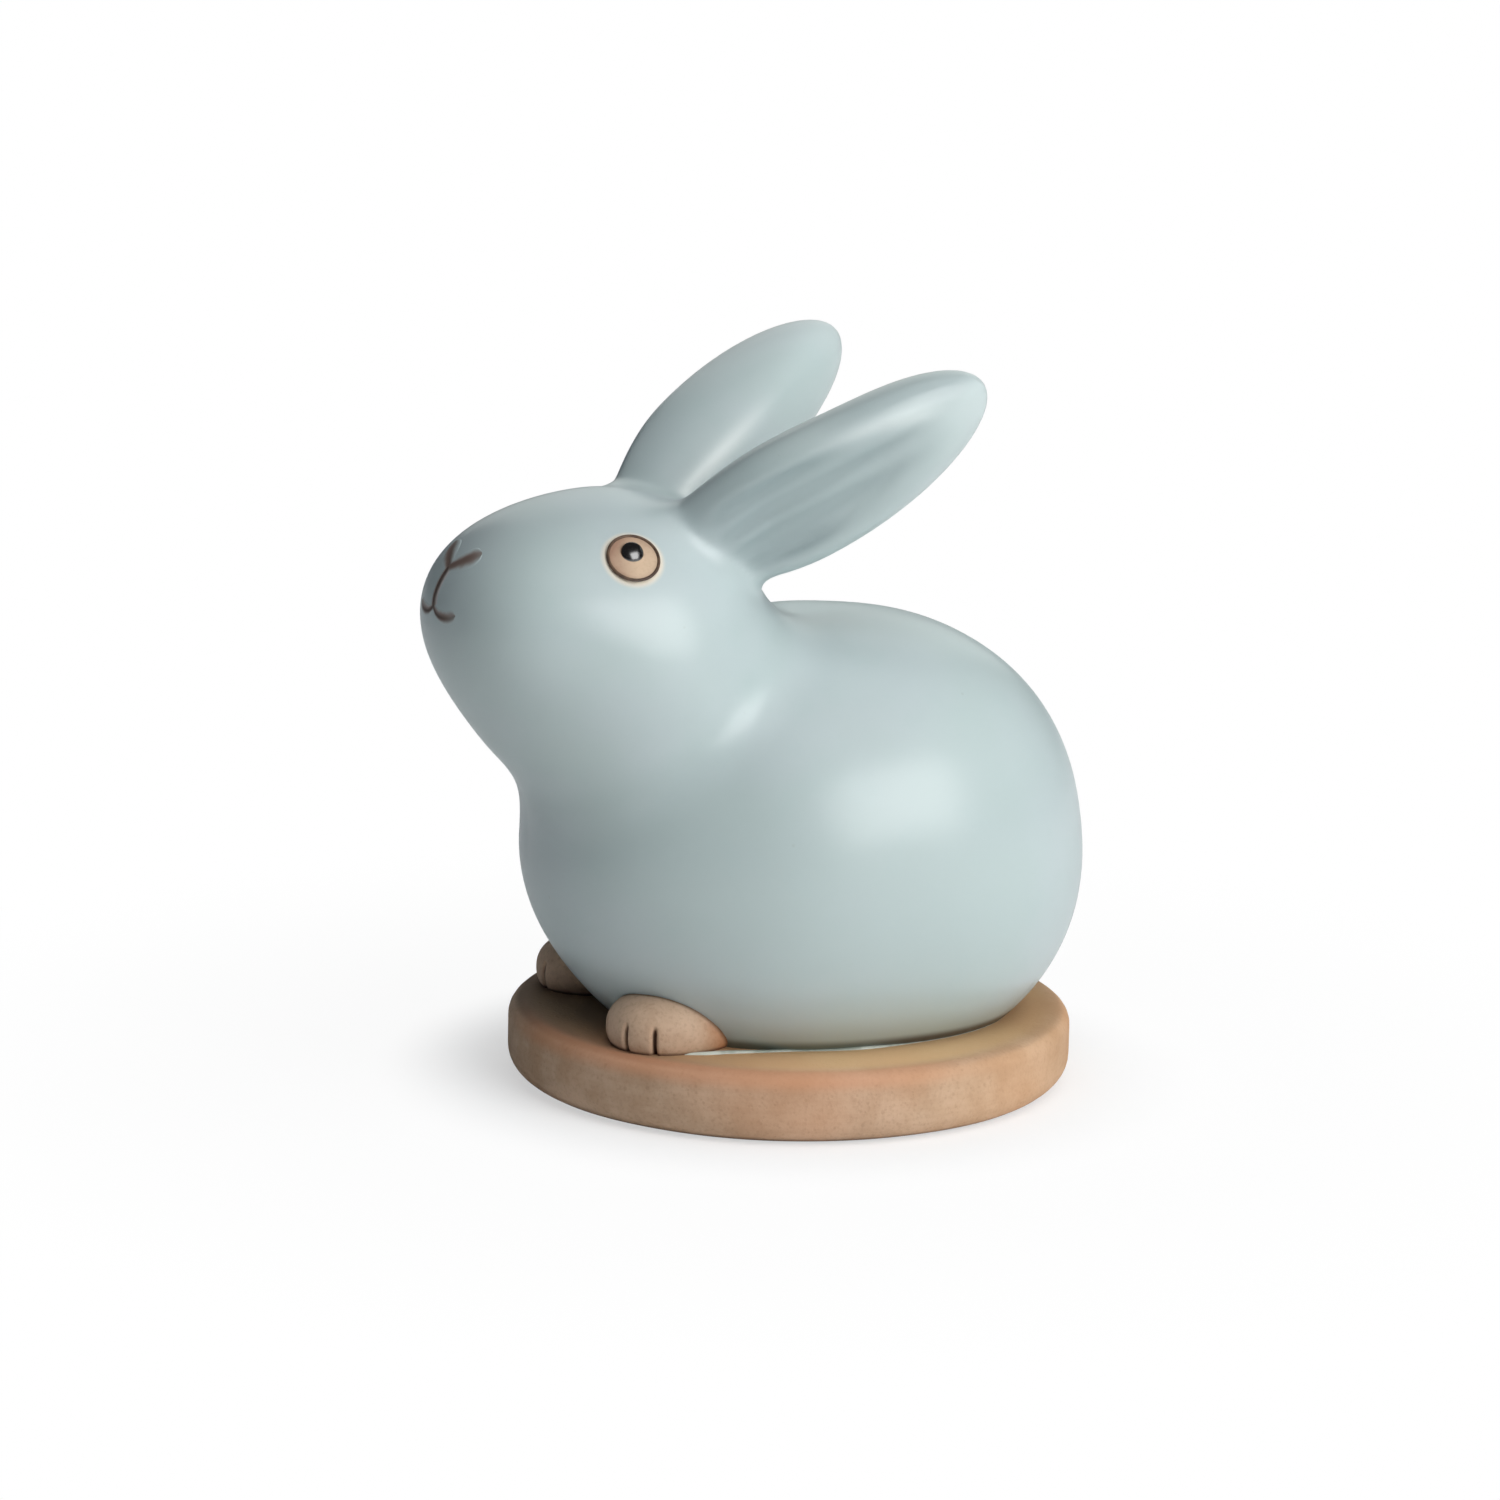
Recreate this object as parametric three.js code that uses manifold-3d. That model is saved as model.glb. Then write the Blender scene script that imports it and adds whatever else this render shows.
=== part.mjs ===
// Tea pet: a hollow glazed rabbit crouching on a disc of bare clay, its head lifted and turned aside.
// Millimetres. The rabbit faces -Y, its left is +X, up is +Z. Origin: the centre of the disc's underside.
import * as THREE from "three";
import { mergeVertices } from "three/addons/utils/BufferGeometryUtils.js";
import Module from "manifold-3d";

const wasm = await Module();
wasm.setup();

const radians = THREE.MathUtils.degToRad;

// Base disc
const DISC_DIAMETER = 60;
const DISC_THICKNESS = 7.6;
const DISC_TOP_EDGE_RADIUS = 1.9;
const DISC_LOWER_EDGE_RADIUS = 2.8;
const VENT_DIAMETER = 7;
const VENT_BEHIND_CENTRE = 8;

// Torso: a full rounded form, cut off level where it stands on the disc
const TORSO_WIDTH = 51.8;
const TORSO_LENGTH = 56;
const TORSO_HEIGHT = 49.7;
const TORSO_FULLNESS = 2.24;
const TORSO_PITCH = radians(8.5);
const TORSO_BEHIND_CENTRE = 2.65;
const TORSO_ABOVE_DISC = 17.2;

// Chest: an ellipsoid at the front of the torso
const CHEST_WIDTH = 33.9;
const CHEST_LENGTH = 32.8;
const CHEST_HEIGHT = 30;
const CHEST_AHEAD_OF_TORSO = 15.3;
const CHEST_ABOVE_TORSO = 0.3;
const CHEST_BLEND = 6.4;

// Head: an ellipsoid that looks up, turned aside on the chest
const HEAD_WIDTH = 33.4;
const HEAD_LENGTH = 37.6;
const HEAD_HEIGHT = 33.2;
const HEAD_REAR_SHARE = 0.8;
const HEAD_PITCH = radians(-32);
const HEAD_TURN = radians(6.2);
const HEAD_AHEAD_OF_CHEST = 7.65;
const HEAD_ABOVE_CHEST = 22;
const NECK_BLEND = 8;
const NECK_BELOW_HEAD = 6.5;
const NECK_TILT = radians(30);
const NECK_RUN_ON = 14;

// Muzzle: a small ellipsoid at the front of the head
const MUZZLE_WIDTH = 20.2;
const MUZZLE_LENGTH = 14.2;
const MUZZLE_HEIGHT = 13.3;
const MUZZLE_AHEAD_OF_HEAD = 12.4;
const MUZZLE_ABOVE_HEAD = 5.05;
const MUZZLE_BLEND = 8.3;

// Walls and the gaps of the luted seams
const WALL = 3.5;
const SEAM_GAP = 0.3;
const INLAY_GAP = 0.1;

// Ears: bent leaves, laid back and out from the top of the head, with a dished front and a rounded back
const EAR_LENGTH = 32.8;
const EAR_WIDTH = 15;
const EAR_FRONT_THICKNESS = 3.4;
const EAR_BACK_THICKNESS = 7;
const EAR_BACK_FULLNESS = 1.5;
const EAR_OUT = radians(34.4);
const EAR_LIFT = radians(26.2);
const EAR_ROLL = radians(64.5);
const EAR_BEND = 6.5;
const EAR_WIDEST_AT = 11.2;
const EAR_ROOT_WIDTH = 11;
const EAR_CHANNEL_DEPTH = 1.6;
const EAR_CHANNEL_NARROWING = 4;
const EAR_ROOT_ASIDE = radians(132.7);
const EAR_ROOT_RISE = radians(51.5);
const EAR_ROOT_DEPTH = 1.2;
const EAR_STUB = 4;

// Front paws: rounded forms half sunk in the chest, with cut toes
const PAW_WIDTH = 11.7;
const PAW_LENGTH = 13.4;
const PAW_HEIGHT = 8;
const PAW_FULLNESS = 2.3;
const PAW_TOE_OUT = radians(7);
const PAW_ASIDE = radians(35);
const PAW_SINK = 0.3;
const PAW_ABOVE_DISC = 1.7;
const TOE_GROOVE_WIDTH = 0.5;
const TOE_GROOVE_DEPTH = 0.6;
const TOE_GROOVES_ASIDE = [radians(-17), radians(20), radians(49)];

// Tail: a low pellet pressed into the rump
const TAIL_DIAMETER = 10;
const TAIL_THICKNESS = 6;
const TAIL_PROUD = 1.8;
const TAIL_ABOVE_DISC = 9.4;

// Eyes: a pad in a pocket, a dark line round it and a bead of glaze for the pupil
const EYE_DIAMETER = 5.7;
const EYE_ASIDE = radians(73);
const EYE_RISE = radians(45);
const EYE_LINE_WIDTH = 0.4;
const EYE_POCKET_DEPTH = 1.2;
const EYE_CROWN = 0.3;
const EYE_PROUD = 0.15;
const PUPIL_DIAMETER = 2.2;
const PUPIL_ABOVE_EYE = 0.6;
const PUPIL_POCKET_DEPTH = 0.6;
const PUPIL_PROUD = 0.4;

// Nose and mouth: strokes as angles aside and up from the middle of the head
const NOSE_WING_WIDTH = 0.9;
const LIP_LINE_WIDTH = 0.6;
const NOSE_FOOT_RISE = radians(28);
const NOSE_WING_ASIDE = radians(11.5);
const NOSE_WING_RISE = radians(35);
const MOUTH_RISE = radians(16.8);
const MOUTH_CORNER_ASIDE = radians(12.2);
const MOUTH_CORNER_RISE = radians(16.1);
const MOUTH_SAG = radians(1.3);

// Pooled glaze round the foot
const POOL_WIDTH = 1.6;
const POOL_HEIGHT = 1.1;
const POOL_RIM = 0.25;

// Fineness of the faceted surfaces
const SKIN_DETAIL = 8;
const HOLLOW_DETAIL = 4;
const PAW_DETAIL = 5;
const DISC_SIDES = 60;
const EDGE_STEPS = 4;
const ROUND_SIDES = 20;
const EAR_SIDES = 20;
const EAR_RINGS = 5;
const WEDGE_SIDES = 4;
const STROKE_SIDES = 4;
const STROKE_STEPS = 6;
const POOL_SIDES = 60;
const MARCH_STEP = 2;
const HALVINGS = 30;
const SLOPE_STEP = 0.01;
const REACH = 2 * (TORSO_LENGTH + HEAD_LENGTH + EAR_LENGTH);

const NEARLY_ZERO = 1e-9;
const ELLIPSOID = 2;
const UP = new THREE.Vector3(0, 0, 1);

function place(x, y, z) {
  return new THREE.Matrix4().makeTranslation(x, y, z);
}

// The rabbit's own frame has its origin at the centre of the disc's top face.
const torsoCentre = new THREE.Vector3(0, TORSO_BEHIND_CENTRE, TORSO_ABOVE_DISC);
const chestCentre = torsoCentre.clone().add(new THREE.Vector3(0, -CHEST_AHEAD_OF_TORSO, CHEST_ABOVE_TORSO));
const headTurn = place(chestCentre.x, chestCentre.y, chestCentre.z)
  .multiply(new THREE.Matrix4().makeRotationZ(HEAD_TURN));
const headFrame = headTurn.clone().multiply(place(0, -HEAD_AHEAD_OF_CHEST, HEAD_ABOVE_CHEST));
const headCentre = new THREE.Vector3().applyMatrix4(headFrame);

// Depth of a point in a rounded form, negative inside. More fullness fills out its corners,
// and a rear share under one draws in its rear half.
function roundedForm(width, length, height, fullness, frame, rearShare = 1) {
  const toForm = frame.clone().invert();
  const radii = new THREE.Vector3(width / 2, length / 2, height / 2);
  const local = new THREE.Vector3();
  const slope = new THREE.Vector3();
  return (point) => {
    local.copy(point).applyMatrix4(toForm).divide(radii);
    local.y = local.y > 0 ? local.y / rearShare : local.y;
    local.set(...local.toArray().map((value) => Math.abs(value) + NEARLY_ZERO));
    const reach = (local.x ** fullness + local.y ** fullness + local.z ** fullness) ** (1 / fullness);
    local.divideScalar(reach);
    slope.set(local.x ** (fullness - 1), local.y ** (fullness - 1), local.z ** (fullness - 1)).divide(radii);
    return (reach - 1) / slope.length();
  };
}

// Two forms run together with a soft crease of the given width.
function blend(first, second, width) {
  return (point) => {
    const a = first(point);
    const b = second(point);
    const share = THREE.MathUtils.clamp(0.5 + (0.5 * (b - a)) / width, 0, 1);
    return THREE.MathUtils.lerp(b, a, share) - width * share * (1 - share);
  };
}

const torsoFrame = place(...torsoCentre).multiply(new THREE.Matrix4().makeRotationX(TORSO_PITCH));
const torso = roundedForm(TORSO_WIDTH, TORSO_LENGTH, TORSO_HEIGHT, TORSO_FULLNESS, torsoFrame);
const chest = roundedForm(CHEST_WIDTH, CHEST_LENGTH, CHEST_HEIGHT, ELLIPSOID, place(...chestCentre));
const skullFrame = headFrame.clone().multiply(new THREE.Matrix4().makeRotationX(HEAD_PITCH));
const skull = roundedForm(HEAD_WIDTH, HEAD_LENGTH, HEAD_HEIGHT, ELLIPSOID, skullFrame, HEAD_REAR_SHARE);
const muzzleFrame = headFrame.clone().multiply(place(0, -MUZZLE_AHEAD_OF_HEAD, MUZZLE_ABOVE_HEAD));
const muzzle = roundedForm(MUZZLE_WIDTH, MUZZLE_LENGTH, MUZZLE_HEIGHT, ELLIPSOID, muzzleFrame);
const figure = blend(blend(torso, chest, CHEST_BLEND), blend(skull, muzzle, MUZZLE_BLEND), NECK_BLEND);

// The neck seam is a level plane, tilted with the head and turned with it.
const neckNormal = new THREE.Vector3(0, -Math.sin(NECK_TILT), Math.cos(NECK_TILT));
neckNormal.transformDirection(headTurn);
const neckPoint = headCentre.clone().addScaledVector(neckNormal, -NECK_BELOW_HEAD);

function aboveNeck(point) {
  return point.clone().sub(neckPoint).dot(neckNormal);
}

// The first place where a ray from inside a form leaves it.
function exitPoint(start, direction, form) {
  let inside = 0;
  let outside = MARCH_STEP;
  while (outside < REACH && form(start.clone().addScaledVector(direction, outside)) < 0) {
    inside = outside;
    outside += MARCH_STEP;
  }
  for (let i = 0; i < HALVINGS; i++) {
    const middle = (inside + outside) / 2;
    const within = form(start.clone().addScaledVector(direction, middle)) < 0;
    inside = within ? middle : inside;
    outside = within ? outside : middle;
  }
  return start.clone().addScaledVector(direction, inside);
}

function outwardNormal(point, form) {
  const slopes = [0, 1, 2].map((axis) => {
    const ahead = point.clone().setComponent(axis, point.getComponent(axis) + SLOPE_STEP);
    const behind = point.clone().setComponent(axis, point.getComponent(axis) - SLOPE_STEP);
    return form(ahead) - form(behind);
  });
  return new THREE.Vector3(...slopes).normalize();
}

// Closed geometry to solid and back
function weld(geometry) {
  const bare = geometry.clone();
  bare.deleteAttribute("normal");
  bare.deleteAttribute("uv");
  return mergeVertices(bare);
}

function solidOf(geometry, matrix = new THREE.Matrix4()) {
  const welded = weld(geometry).applyMatrix4(matrix);
  const corners = welded.index.array;
  const mirrored = matrix.determinant() < 0;
  const triangles = [];
  for (let i = 0; i < corners.length; i += 3) {
    const [a, b, c] = corners.slice(i, i + 3);
    if (a !== b && b !== c && c !== a) {
      triangles.push(...(mirrored ? [a, c, b] : [a, b, c]));
    }
  }
  const vertProperties = welded.attributes.position.array;
  const triVerts = new Uint32Array(triangles);
  return new wasm.Manifold(new wasm.Mesh({ numProp: 3, vertProperties, triVerts }));
}

function geometryOf(solid) {
  const { vertProperties, triVerts } = solid.getMesh();
  const geometry = new THREE.BufferGeometry();
  geometry.setAttribute("position", new THREE.BufferAttribute(vertProperties, 3));
  geometry.setIndex(new THREE.BufferAttribute(triVerts, 1));
  geometry.computeVertexNormals();
  return geometry;
}

// A ball of facets whose corners are pushed out from a core to the skin of a form.
function skinSolid(core, form, detail) {
  const ball = weld(new THREE.IcosahedronGeometry(1, detail));
  const corners = ball.attributes.position;
  for (let i = 0; i < corners.count; i++) {
    const direction = new THREE.Vector3().fromBufferAttribute(corners, i).normalize();
    corners.setXYZ(i, ...exitPoint(core, direction, form));
  }
  return solidOf(ball);
}

// A large block on the far side of a plane, to cut with.
function blockBeyond(point, normal) {
  const block = new THREE.BoxGeometry(REACH, REACH, REACH).translate(0, 0, REACH / 2);
  const turn = new THREE.Quaternion().setFromUnitVectors(UP, normal);
  return solidOf(block, new THREE.Matrix4().compose(point, turn, new THREE.Vector3(1, 1, 1)));
}

// Sections of equally many corners joined into one closed surface, drawn to a point at each end.
function loft(sections, ends) {
  const count = sections[0].length;
  const points = [...sections.flat(), ...ends];
  const index = [];
  const last = sections.length - 1;
  for (let i = 0; i < last; i++) {
    const here = i * count;
    const next = here + count;
    for (let j = 0; j < count; j++) {
      const k = (j + 1) % count;
      index.push(here + j, next + j, here + k, here + k, next + j, next + k);
    }
  }
  const first = sections.length * count;
  const back = last * count;
  for (let j = 0; j < count; j++) {
    const k = (j + 1) % count;
    index.push(first, j, k, first + 1, back + k, back + j);
  }
  return new THREE.BufferGeometry().setFromPoints(points).setIndex(index);
}

// A turned piece: the profile runs in radius and height, and the axis is Z.
function turned(profile, sides) {
  const outline = profile.map(([radius, height]) => new THREE.Vector2(radius, height));
  return new THREE.LatheGeometry(outline, sides).rotateX(Math.PI / 2);
}

function rod(diameter, low, high, sides) {
  return turned([[0, low], [diameter / 2, low], [diameter / 2, high], [0, high]], sides);
}

// Quarter round of the disc's rim about a height, from one angle to the next, as profile points
function roundedRim(height, round, from) {
  const middle = DISC_DIAMETER / 2 - round;
  return Array.from({ length: EDGE_STEPS + 1 }, (_, step) => {
    const angle = from + (step / EDGE_STEPS) * (Math.PI / 2);
    return [middle + round * Math.cos(angle), height + round * Math.sin(angle)];
  });
}

const materials = {
  clay: new THREE.MeshStandardMaterial({ color: 0xb8907a, roughness: 0.85, metalness: 0 }),
  pawClay: new THREE.MeshStandardMaterial({ color: 0xcdb49e, roughness: 0.8, metalness: 0 }),
  glaze: new THREE.MeshStandardMaterial({ color: 0xb4c6c4, roughness: 0.3, metalness: 0 }),
  eyeClay: new THREE.MeshStandardMaterial({ color: 0xd6b48e, roughness: 0.6, metalness: 0 }),
  ironSlip: new THREE.MeshStandardMaterial({ color: 0x4a3424, roughness: 0.6, metalness: 0 }),
  pupilGlaze: new THREE.MeshStandardMaterial({ color: 0x0b0a0a, roughness: 0.1, metalness: 0 }),
  pooledGlaze: new THREE.MeshStandardMaterial({ color: 0xc2cfc6, roughness: 0.2, metalness: 0 }),
};

const teaPet = new THREE.Group();
const rabbit = new THREE.Group();
rabbit.position.z = DISC_THICKNESS;
teaPet.add(rabbit);

function addPiece(parent, name, solid, material) {
  const piece = new THREE.Mesh(geometryOf(solid), material);
  piece.name = name;
  parent.add(piece);
  return piece;
}

// Base disc with its kiln vent
function makeDisc() {
  const lower = roundedRim(DISC_LOWER_EDGE_RADIUS, DISC_LOWER_EDGE_RADIUS, -Math.PI / 2);
  const top = roundedRim(DISC_THICKNESS - DISC_TOP_EDGE_RADIUS, DISC_TOP_EDGE_RADIUS, 0);
  const disc = solidOf(turned([[0, 0], ...lower, ...top, [0, DISC_THICKNESS]], DISC_SIDES));
  const vent = rod(VENT_DIAMETER, -DISC_THICKNESS, 2 * DISC_THICKNESS, ROUND_SIDES);
  return disc.subtract(solidOf(vent, place(0, VENT_BEHIND_CENTRE, 0)));
}

// Torso and head: skins of the figure on either side of the neck, grown by a gap for their neighbours' seats
function torsoSide(offset) {
  return (point) => Math.max(figure(point) - offset, aboveNeck(point) - NECK_RUN_ON);
}

function headSide(offset) {
  return (point) => Math.max(figure(point) - offset, -aboveNeck(point) - NECK_RUN_ON);
}

const grownTorso = skinSolid(torsoCentre, torsoSide(SEAM_GAP), SKIN_DETAIL);
const grownHead = skinSolid(headCentre, headSide(SEAM_GAP), SKIN_DETAIL);
const belowDiscTop = blockBeyond(new THREE.Vector3(), new THREE.Vector3(0, 0, -1));

// Tail pellet, level at the back of the rump
const tailLevel = new THREE.Vector3(0, torsoCentre.y, TAIL_ABOVE_DISC);
const rump = exitPoint(tailLevel, new THREE.Vector3(0, 1, 0), figure);

function tailSolid(gap) {
  const frame = place(0, rump.y + TAIL_PROUD - TAIL_THICKNESS / 2, TAIL_ABOVE_DISC);
  const width = TAIL_DIAMETER + 2 * gap;
  const pellet = roundedForm(width, TAIL_THICKNESS + 2 * gap, width, ELLIPSOID, frame);
  return skinSolid(new THREE.Vector3().applyMatrix4(frame), pellet, HOLLOW_DETAIL);
}

function makeTorso() {
  const skin = skinSolid(torsoCentre, torsoSide(0), SKIN_DETAIL);
  const hollow = skinSolid(torsoCentre, torsoSide(-WALL), HOLLOW_DETAIL);
  const seam = neckPoint.clone().addScaledVector(neckNormal, -SEAM_GAP / 2);
  return skin
    .subtract(hollow)
    .subtract(blockBeyond(seam, neckNormal))
    .subtract(belowDiscTop)
    .subtract(tailSolid(SEAM_GAP));
}

// A direction from the middle of the head, by its angle aside from straight ahead and its rise
function headDirection(aside, rise) {
  const flat = Math.cos(rise);
  const direction = new THREE.Vector3(flat * Math.sin(aside), -flat * Math.cos(aside), Math.sin(rise));
  return direction.transformDirection(headFrame);
}

function onHead(aside, rise) {
  return exitPoint(headCentre, headDirection(aside, rise), figure);
}

// Frame of an eye: its origin on the skin, Z outwards, Y up along the skin
function eyeFrame(side) {
  const centre = onHead(side * EYE_ASIDE, EYE_RISE);
  const outward = outwardNormal(centre, figure);
  const across = new THREE.Vector3().crossVectors(UP, outward).normalize();
  const upward = new THREE.Vector3().crossVectors(outward, across);
  return new THREE.Matrix4().makeBasis(across, upward, outward).setPosition(centre);
}

const eyeRadius = EYE_DIAMETER / 2;
const padRadius = eyeRadius - EYE_LINE_WIDTH - INLAY_GAP;
const eyeFloor = -EYE_POCKET_DEPTH + INLAY_GAP;
const eyeBrim = EYE_PROUD - EYE_CROWN;

function eyePocket() {
  return rod(EYE_DIAMETER + 2 * INLAY_GAP, -EYE_POCKET_DEPTH, EYE_DIAMETER, ROUND_SIDES);
}

function makeEyeLine() {
  const inner = eyeRadius - EYE_LINE_WIDTH;
  const foot = [inner, eyeFloor];
  const section = [foot, [eyeRadius, eyeFloor], [eyeRadius, eyeBrim], [inner, eyeBrim], foot];
  return solidOf(turned(section, ROUND_SIDES));
}

function makeEyePad() {
  const shoulder = (EYE_PROUD + eyeBrim) / 2;
  const profile = [[0, eyeFloor], [padRadius, eyeFloor], [padRadius, eyeBrim]];
  const crown = [[padRadius * Math.SQRT1_2, shoulder], [0, EYE_PROUD]];
  const pad = solidOf(turned([...profile, ...crown], ROUND_SIDES));
  const pocketFloor = EYE_PROUD - PUPIL_POCKET_DEPTH;
  const pocket = rod(PUPIL_DIAMETER + 2 * INLAY_GAP, pocketFloor, EYE_DIAMETER, ROUND_SIDES);
  return pad.subtract(solidOf(pocket, place(0, PUPIL_ABOVE_EYE, 0)));
}

function makePupil() {
  const floor = EYE_PROUD - PUPIL_POCKET_DEPTH + INLAY_GAP;
  const radius = PUPIL_DIAMETER / 2;
  const dome = Array.from({ length: EDGE_STEPS + 1 }, (_, step) => {
    const angle = (step / EDGE_STEPS) * (Math.PI / 2);
    return [radius * Math.cos(angle), EYE_PROUD + PUPIL_PROUD * Math.sin(angle)];
  });
  return solidOf(turned([[0, floor], [radius, floor], ...dome], ROUND_SIDES));
}

// Nose and mouth: two wings, the groove of the lip and the two curves of the mouth, as one piece
function stroke(angles, width) {
  const path = new THREE.CatmullRomCurve3(angles.map(([aside, rise]) => onHead(aside, rise)));
  const section = new THREE.Shape().absarc(0, 0, width / 2, 0, 2 * Math.PI);
  const fineness = { steps: STROKE_STEPS, curveSegments: STROKE_SIDES };
  const options = { ...fineness, extrudePath: path, bevelEnabled: false };
  return solidOf(new THREE.ExtrudeGeometry(section, options));
}

function noseMouthSolid(gap) {
  const foot = [0, NOSE_FOOT_RISE];
  const split = [0, MOUTH_RISE];
  const lip = stroke([foot, [0, (NOSE_FOOT_RISE + MOUTH_RISE) / 2], split], LIP_LINE_WIDTH + 2 * gap);
  const halves = [1, -1].flatMap((side) => {
    const wingEnd = [side * NOSE_WING_ASIDE, NOSE_WING_RISE];
    const wingMiddle = [wingEnd[0] / 2, (NOSE_FOOT_RISE + NOSE_WING_RISE) / 2];
    const cornerAside = side * MOUTH_CORNER_ASIDE;
    const sag = [cornerAside / 2, (MOUTH_RISE + MOUTH_CORNER_RISE) / 2 - MOUTH_SAG];
    return [
      stroke([foot, wingMiddle, wingEnd], NOSE_WING_WIDTH + 2 * gap),
      stroke([split, sag, [cornerAside, MOUTH_CORNER_RISE]], LIP_LINE_WIDTH + 2 * gap),
    ];
  });
  return halves.reduce((whole, half) => whole.add(half), lip);
}

function makeHead() {
  const skin = skinSolid(headCentre, headSide(0), SKIN_DETAIL);
  const hollow = skinSolid(headCentre, headSide(-WALL), HOLLOW_DETAIL);
  const seam = neckPoint.clone().addScaledVector(neckNormal, SEAM_GAP / 2);
  return skin
    .subtract(hollow)
    .subtract(blockBeyond(seam, neckNormal.clone().negate()))
    .subtract(solidOf(eyePocket(), eyeFrame(1)))
    .subtract(solidOf(eyePocket(), eyeFrame(-1)))
    .subtract(noseMouthSolid(INLAY_GAP));
}

// Ear: leaf sections along a bent line, with a shallow channel down the outer face
function earSections() {
  const along = new THREE.Vector3(
    Math.sin(EAR_OUT) * Math.cos(EAR_LIFT),
    Math.cos(EAR_OUT) * Math.cos(EAR_LIFT),
    Math.sin(EAR_LIFT),
  );
  const level = new THREE.Vector3().crossVectors(along, UP).normalize();
  const upright = new THREE.Vector3().crossVectors(level, along);
  const across = level.clone().multiplyScalar(Math.cos(EAR_ROLL));
  across.addScaledVector(upright, Math.sin(EAR_ROLL));
  const through = new THREE.Vector3().crossVectors(across, along);
  const rootShare = EAR_ROOT_WIDTH / EAR_WIDTH;
  const tipLength = EAR_LENGTH - EAR_WIDEST_AT;

  function centreAt(distance) {
    const bend = EAR_BEND * Math.pow(Math.max(distance, 0) / EAR_LENGTH, 2);
    return along.clone().multiplyScalar(distance).addScaledVector(through, bend);
  }

  function sectionAt(distance, share) {
    const part = THREE.MathUtils.clamp(distance / EAR_LENGTH, 0, 1);
    const channel = EAR_CHANNEL_DEPTH * Math.sin(Math.PI * part);
    return Array.from({ length: EAR_SIDES }, (_, side) => {
      const angle = (side / EAR_SIDES) * 2 * Math.PI;
      const inFront = angle > Math.PI;
      const thickness = inFront ? EAR_FRONT_THICKNESS : EAR_BACK_THICKNESS;
      const power = inFront ? 1 : ELLIPSOID / EAR_BACK_FULLNESS;
      const aside = Math.sign(Math.cos(angle)) * Math.abs(Math.cos(angle)) ** power;
      const off = Math.sign(Math.sin(angle)) * Math.abs(Math.sin(angle)) ** power;
      const width = (EAR_WIDTH / 2) * share * aside;
      const face = thickness * share * off;
      const hollow = inFront ? channel * share * Math.pow(Math.sin(angle), EAR_CHANNEL_NARROWING) : 0;
      return centreAt(distance).addScaledVector(across, width).addScaledVector(through, face + hollow);
    });
  }

  const sections = [sectionAt(-EAR_STUB, rootShare)];
  for (let ring = 0; ring <= EAR_RINGS; ring++) {
    const part = ring / EAR_RINGS;
    const share = rootShare + (1 - rootShare) * Math.sin((part * Math.PI) / 2);
    sections.push(sectionAt(part * EAR_WIDEST_AT, share));
  }
  for (let ring = 1; ring < 2 * EAR_RINGS; ring++) {
    const angle = (ring / (2 * EAR_RINGS)) * (Math.PI / 2);
    sections.push(sectionAt(EAR_WIDEST_AT + tipLength * Math.sin(angle), Math.cos(angle)));
  }
  return { sections, ends: [centreAt(-EAR_STUB), centreAt(EAR_LENGTH)] };
}

function makeEar(side) {
  const { sections, ends } = earSections();
  const inward = headDirection(side * EAR_ROOT_ASIDE, EAR_ROOT_RISE).negate();
  const root = onHead(side * EAR_ROOT_ASIDE, EAR_ROOT_RISE).addScaledVector(inward, EAR_ROOT_DEPTH);
  const frame = place(...root)
    .multiply(new THREE.Matrix4().makeRotationZ(HEAD_TURN))
    .multiply(new THREE.Matrix4().makeScale(side, 1, 1));
  return solidOf(loft(sections, ends), frame).subtract(grownHead).subtract(grownTorso);
}

// Front paw: a rounded form seated on the disc and against the chest
function pawFrame(side) {
  const level = new THREE.Vector3(side * Math.sin(PAW_ASIDE), -Math.cos(PAW_ASIDE), 0);
  const skin = exitPoint(new THREE.Vector3(0, 0, PAW_ABOVE_DISC), level, figure);
  const centre = skin.addScaledVector(level, -PAW_SINK);
  return place(...centre).multiply(new THREE.Matrix4().makeRotationZ(side * PAW_TOE_OUT));
}

function pawForm(side, gap) {
  const size = [PAW_WIDTH, PAW_LENGTH, PAW_HEIGHT].map((length) => length + 2 * gap);
  return roundedForm(...size, PAW_FULLNESS, pawFrame(side));
}

function pawCentre(side) {
  return new THREE.Vector3().applyMatrix4(pawFrame(side));
}

// An upright wedge that parts two toes
function toeGroove(side, aside) {
  const ahead = new THREE.Vector3(side * Math.sin(aside), -Math.cos(aside), 0);
  ahead.transformDirection(pawFrame(side));
  const toe = exitPoint(pawCentre(side), ahead, pawForm(side, 0));
  const wedge = new THREE.CylinderGeometry(1, 1, 1, WEDGE_SIDES).rotateX(Math.PI / 2);
  const turn = new THREE.Matrix4().makeRotationZ(Math.atan2(ahead.y, ahead.x));
  const stretch = new THREE.Matrix4().makeScale(TOE_GROOVE_DEPTH, TOE_GROOVE_WIDTH / 2, PAW_HEIGHT);
  return solidOf(wedge, place(...toe).multiply(turn).multiply(stretch));
}

function makePaw(side) {
  const form = skinSolid(pawCentre(side), pawForm(side, 0), PAW_DETAIL);
  const paw = form.subtract(grownTorso).subtract(belowDiscTop);
  return TOE_GROOVES_ASIDE.reduce((whole, aside) => whole.subtract(toeGroove(side, aside)), paw);
}

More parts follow.
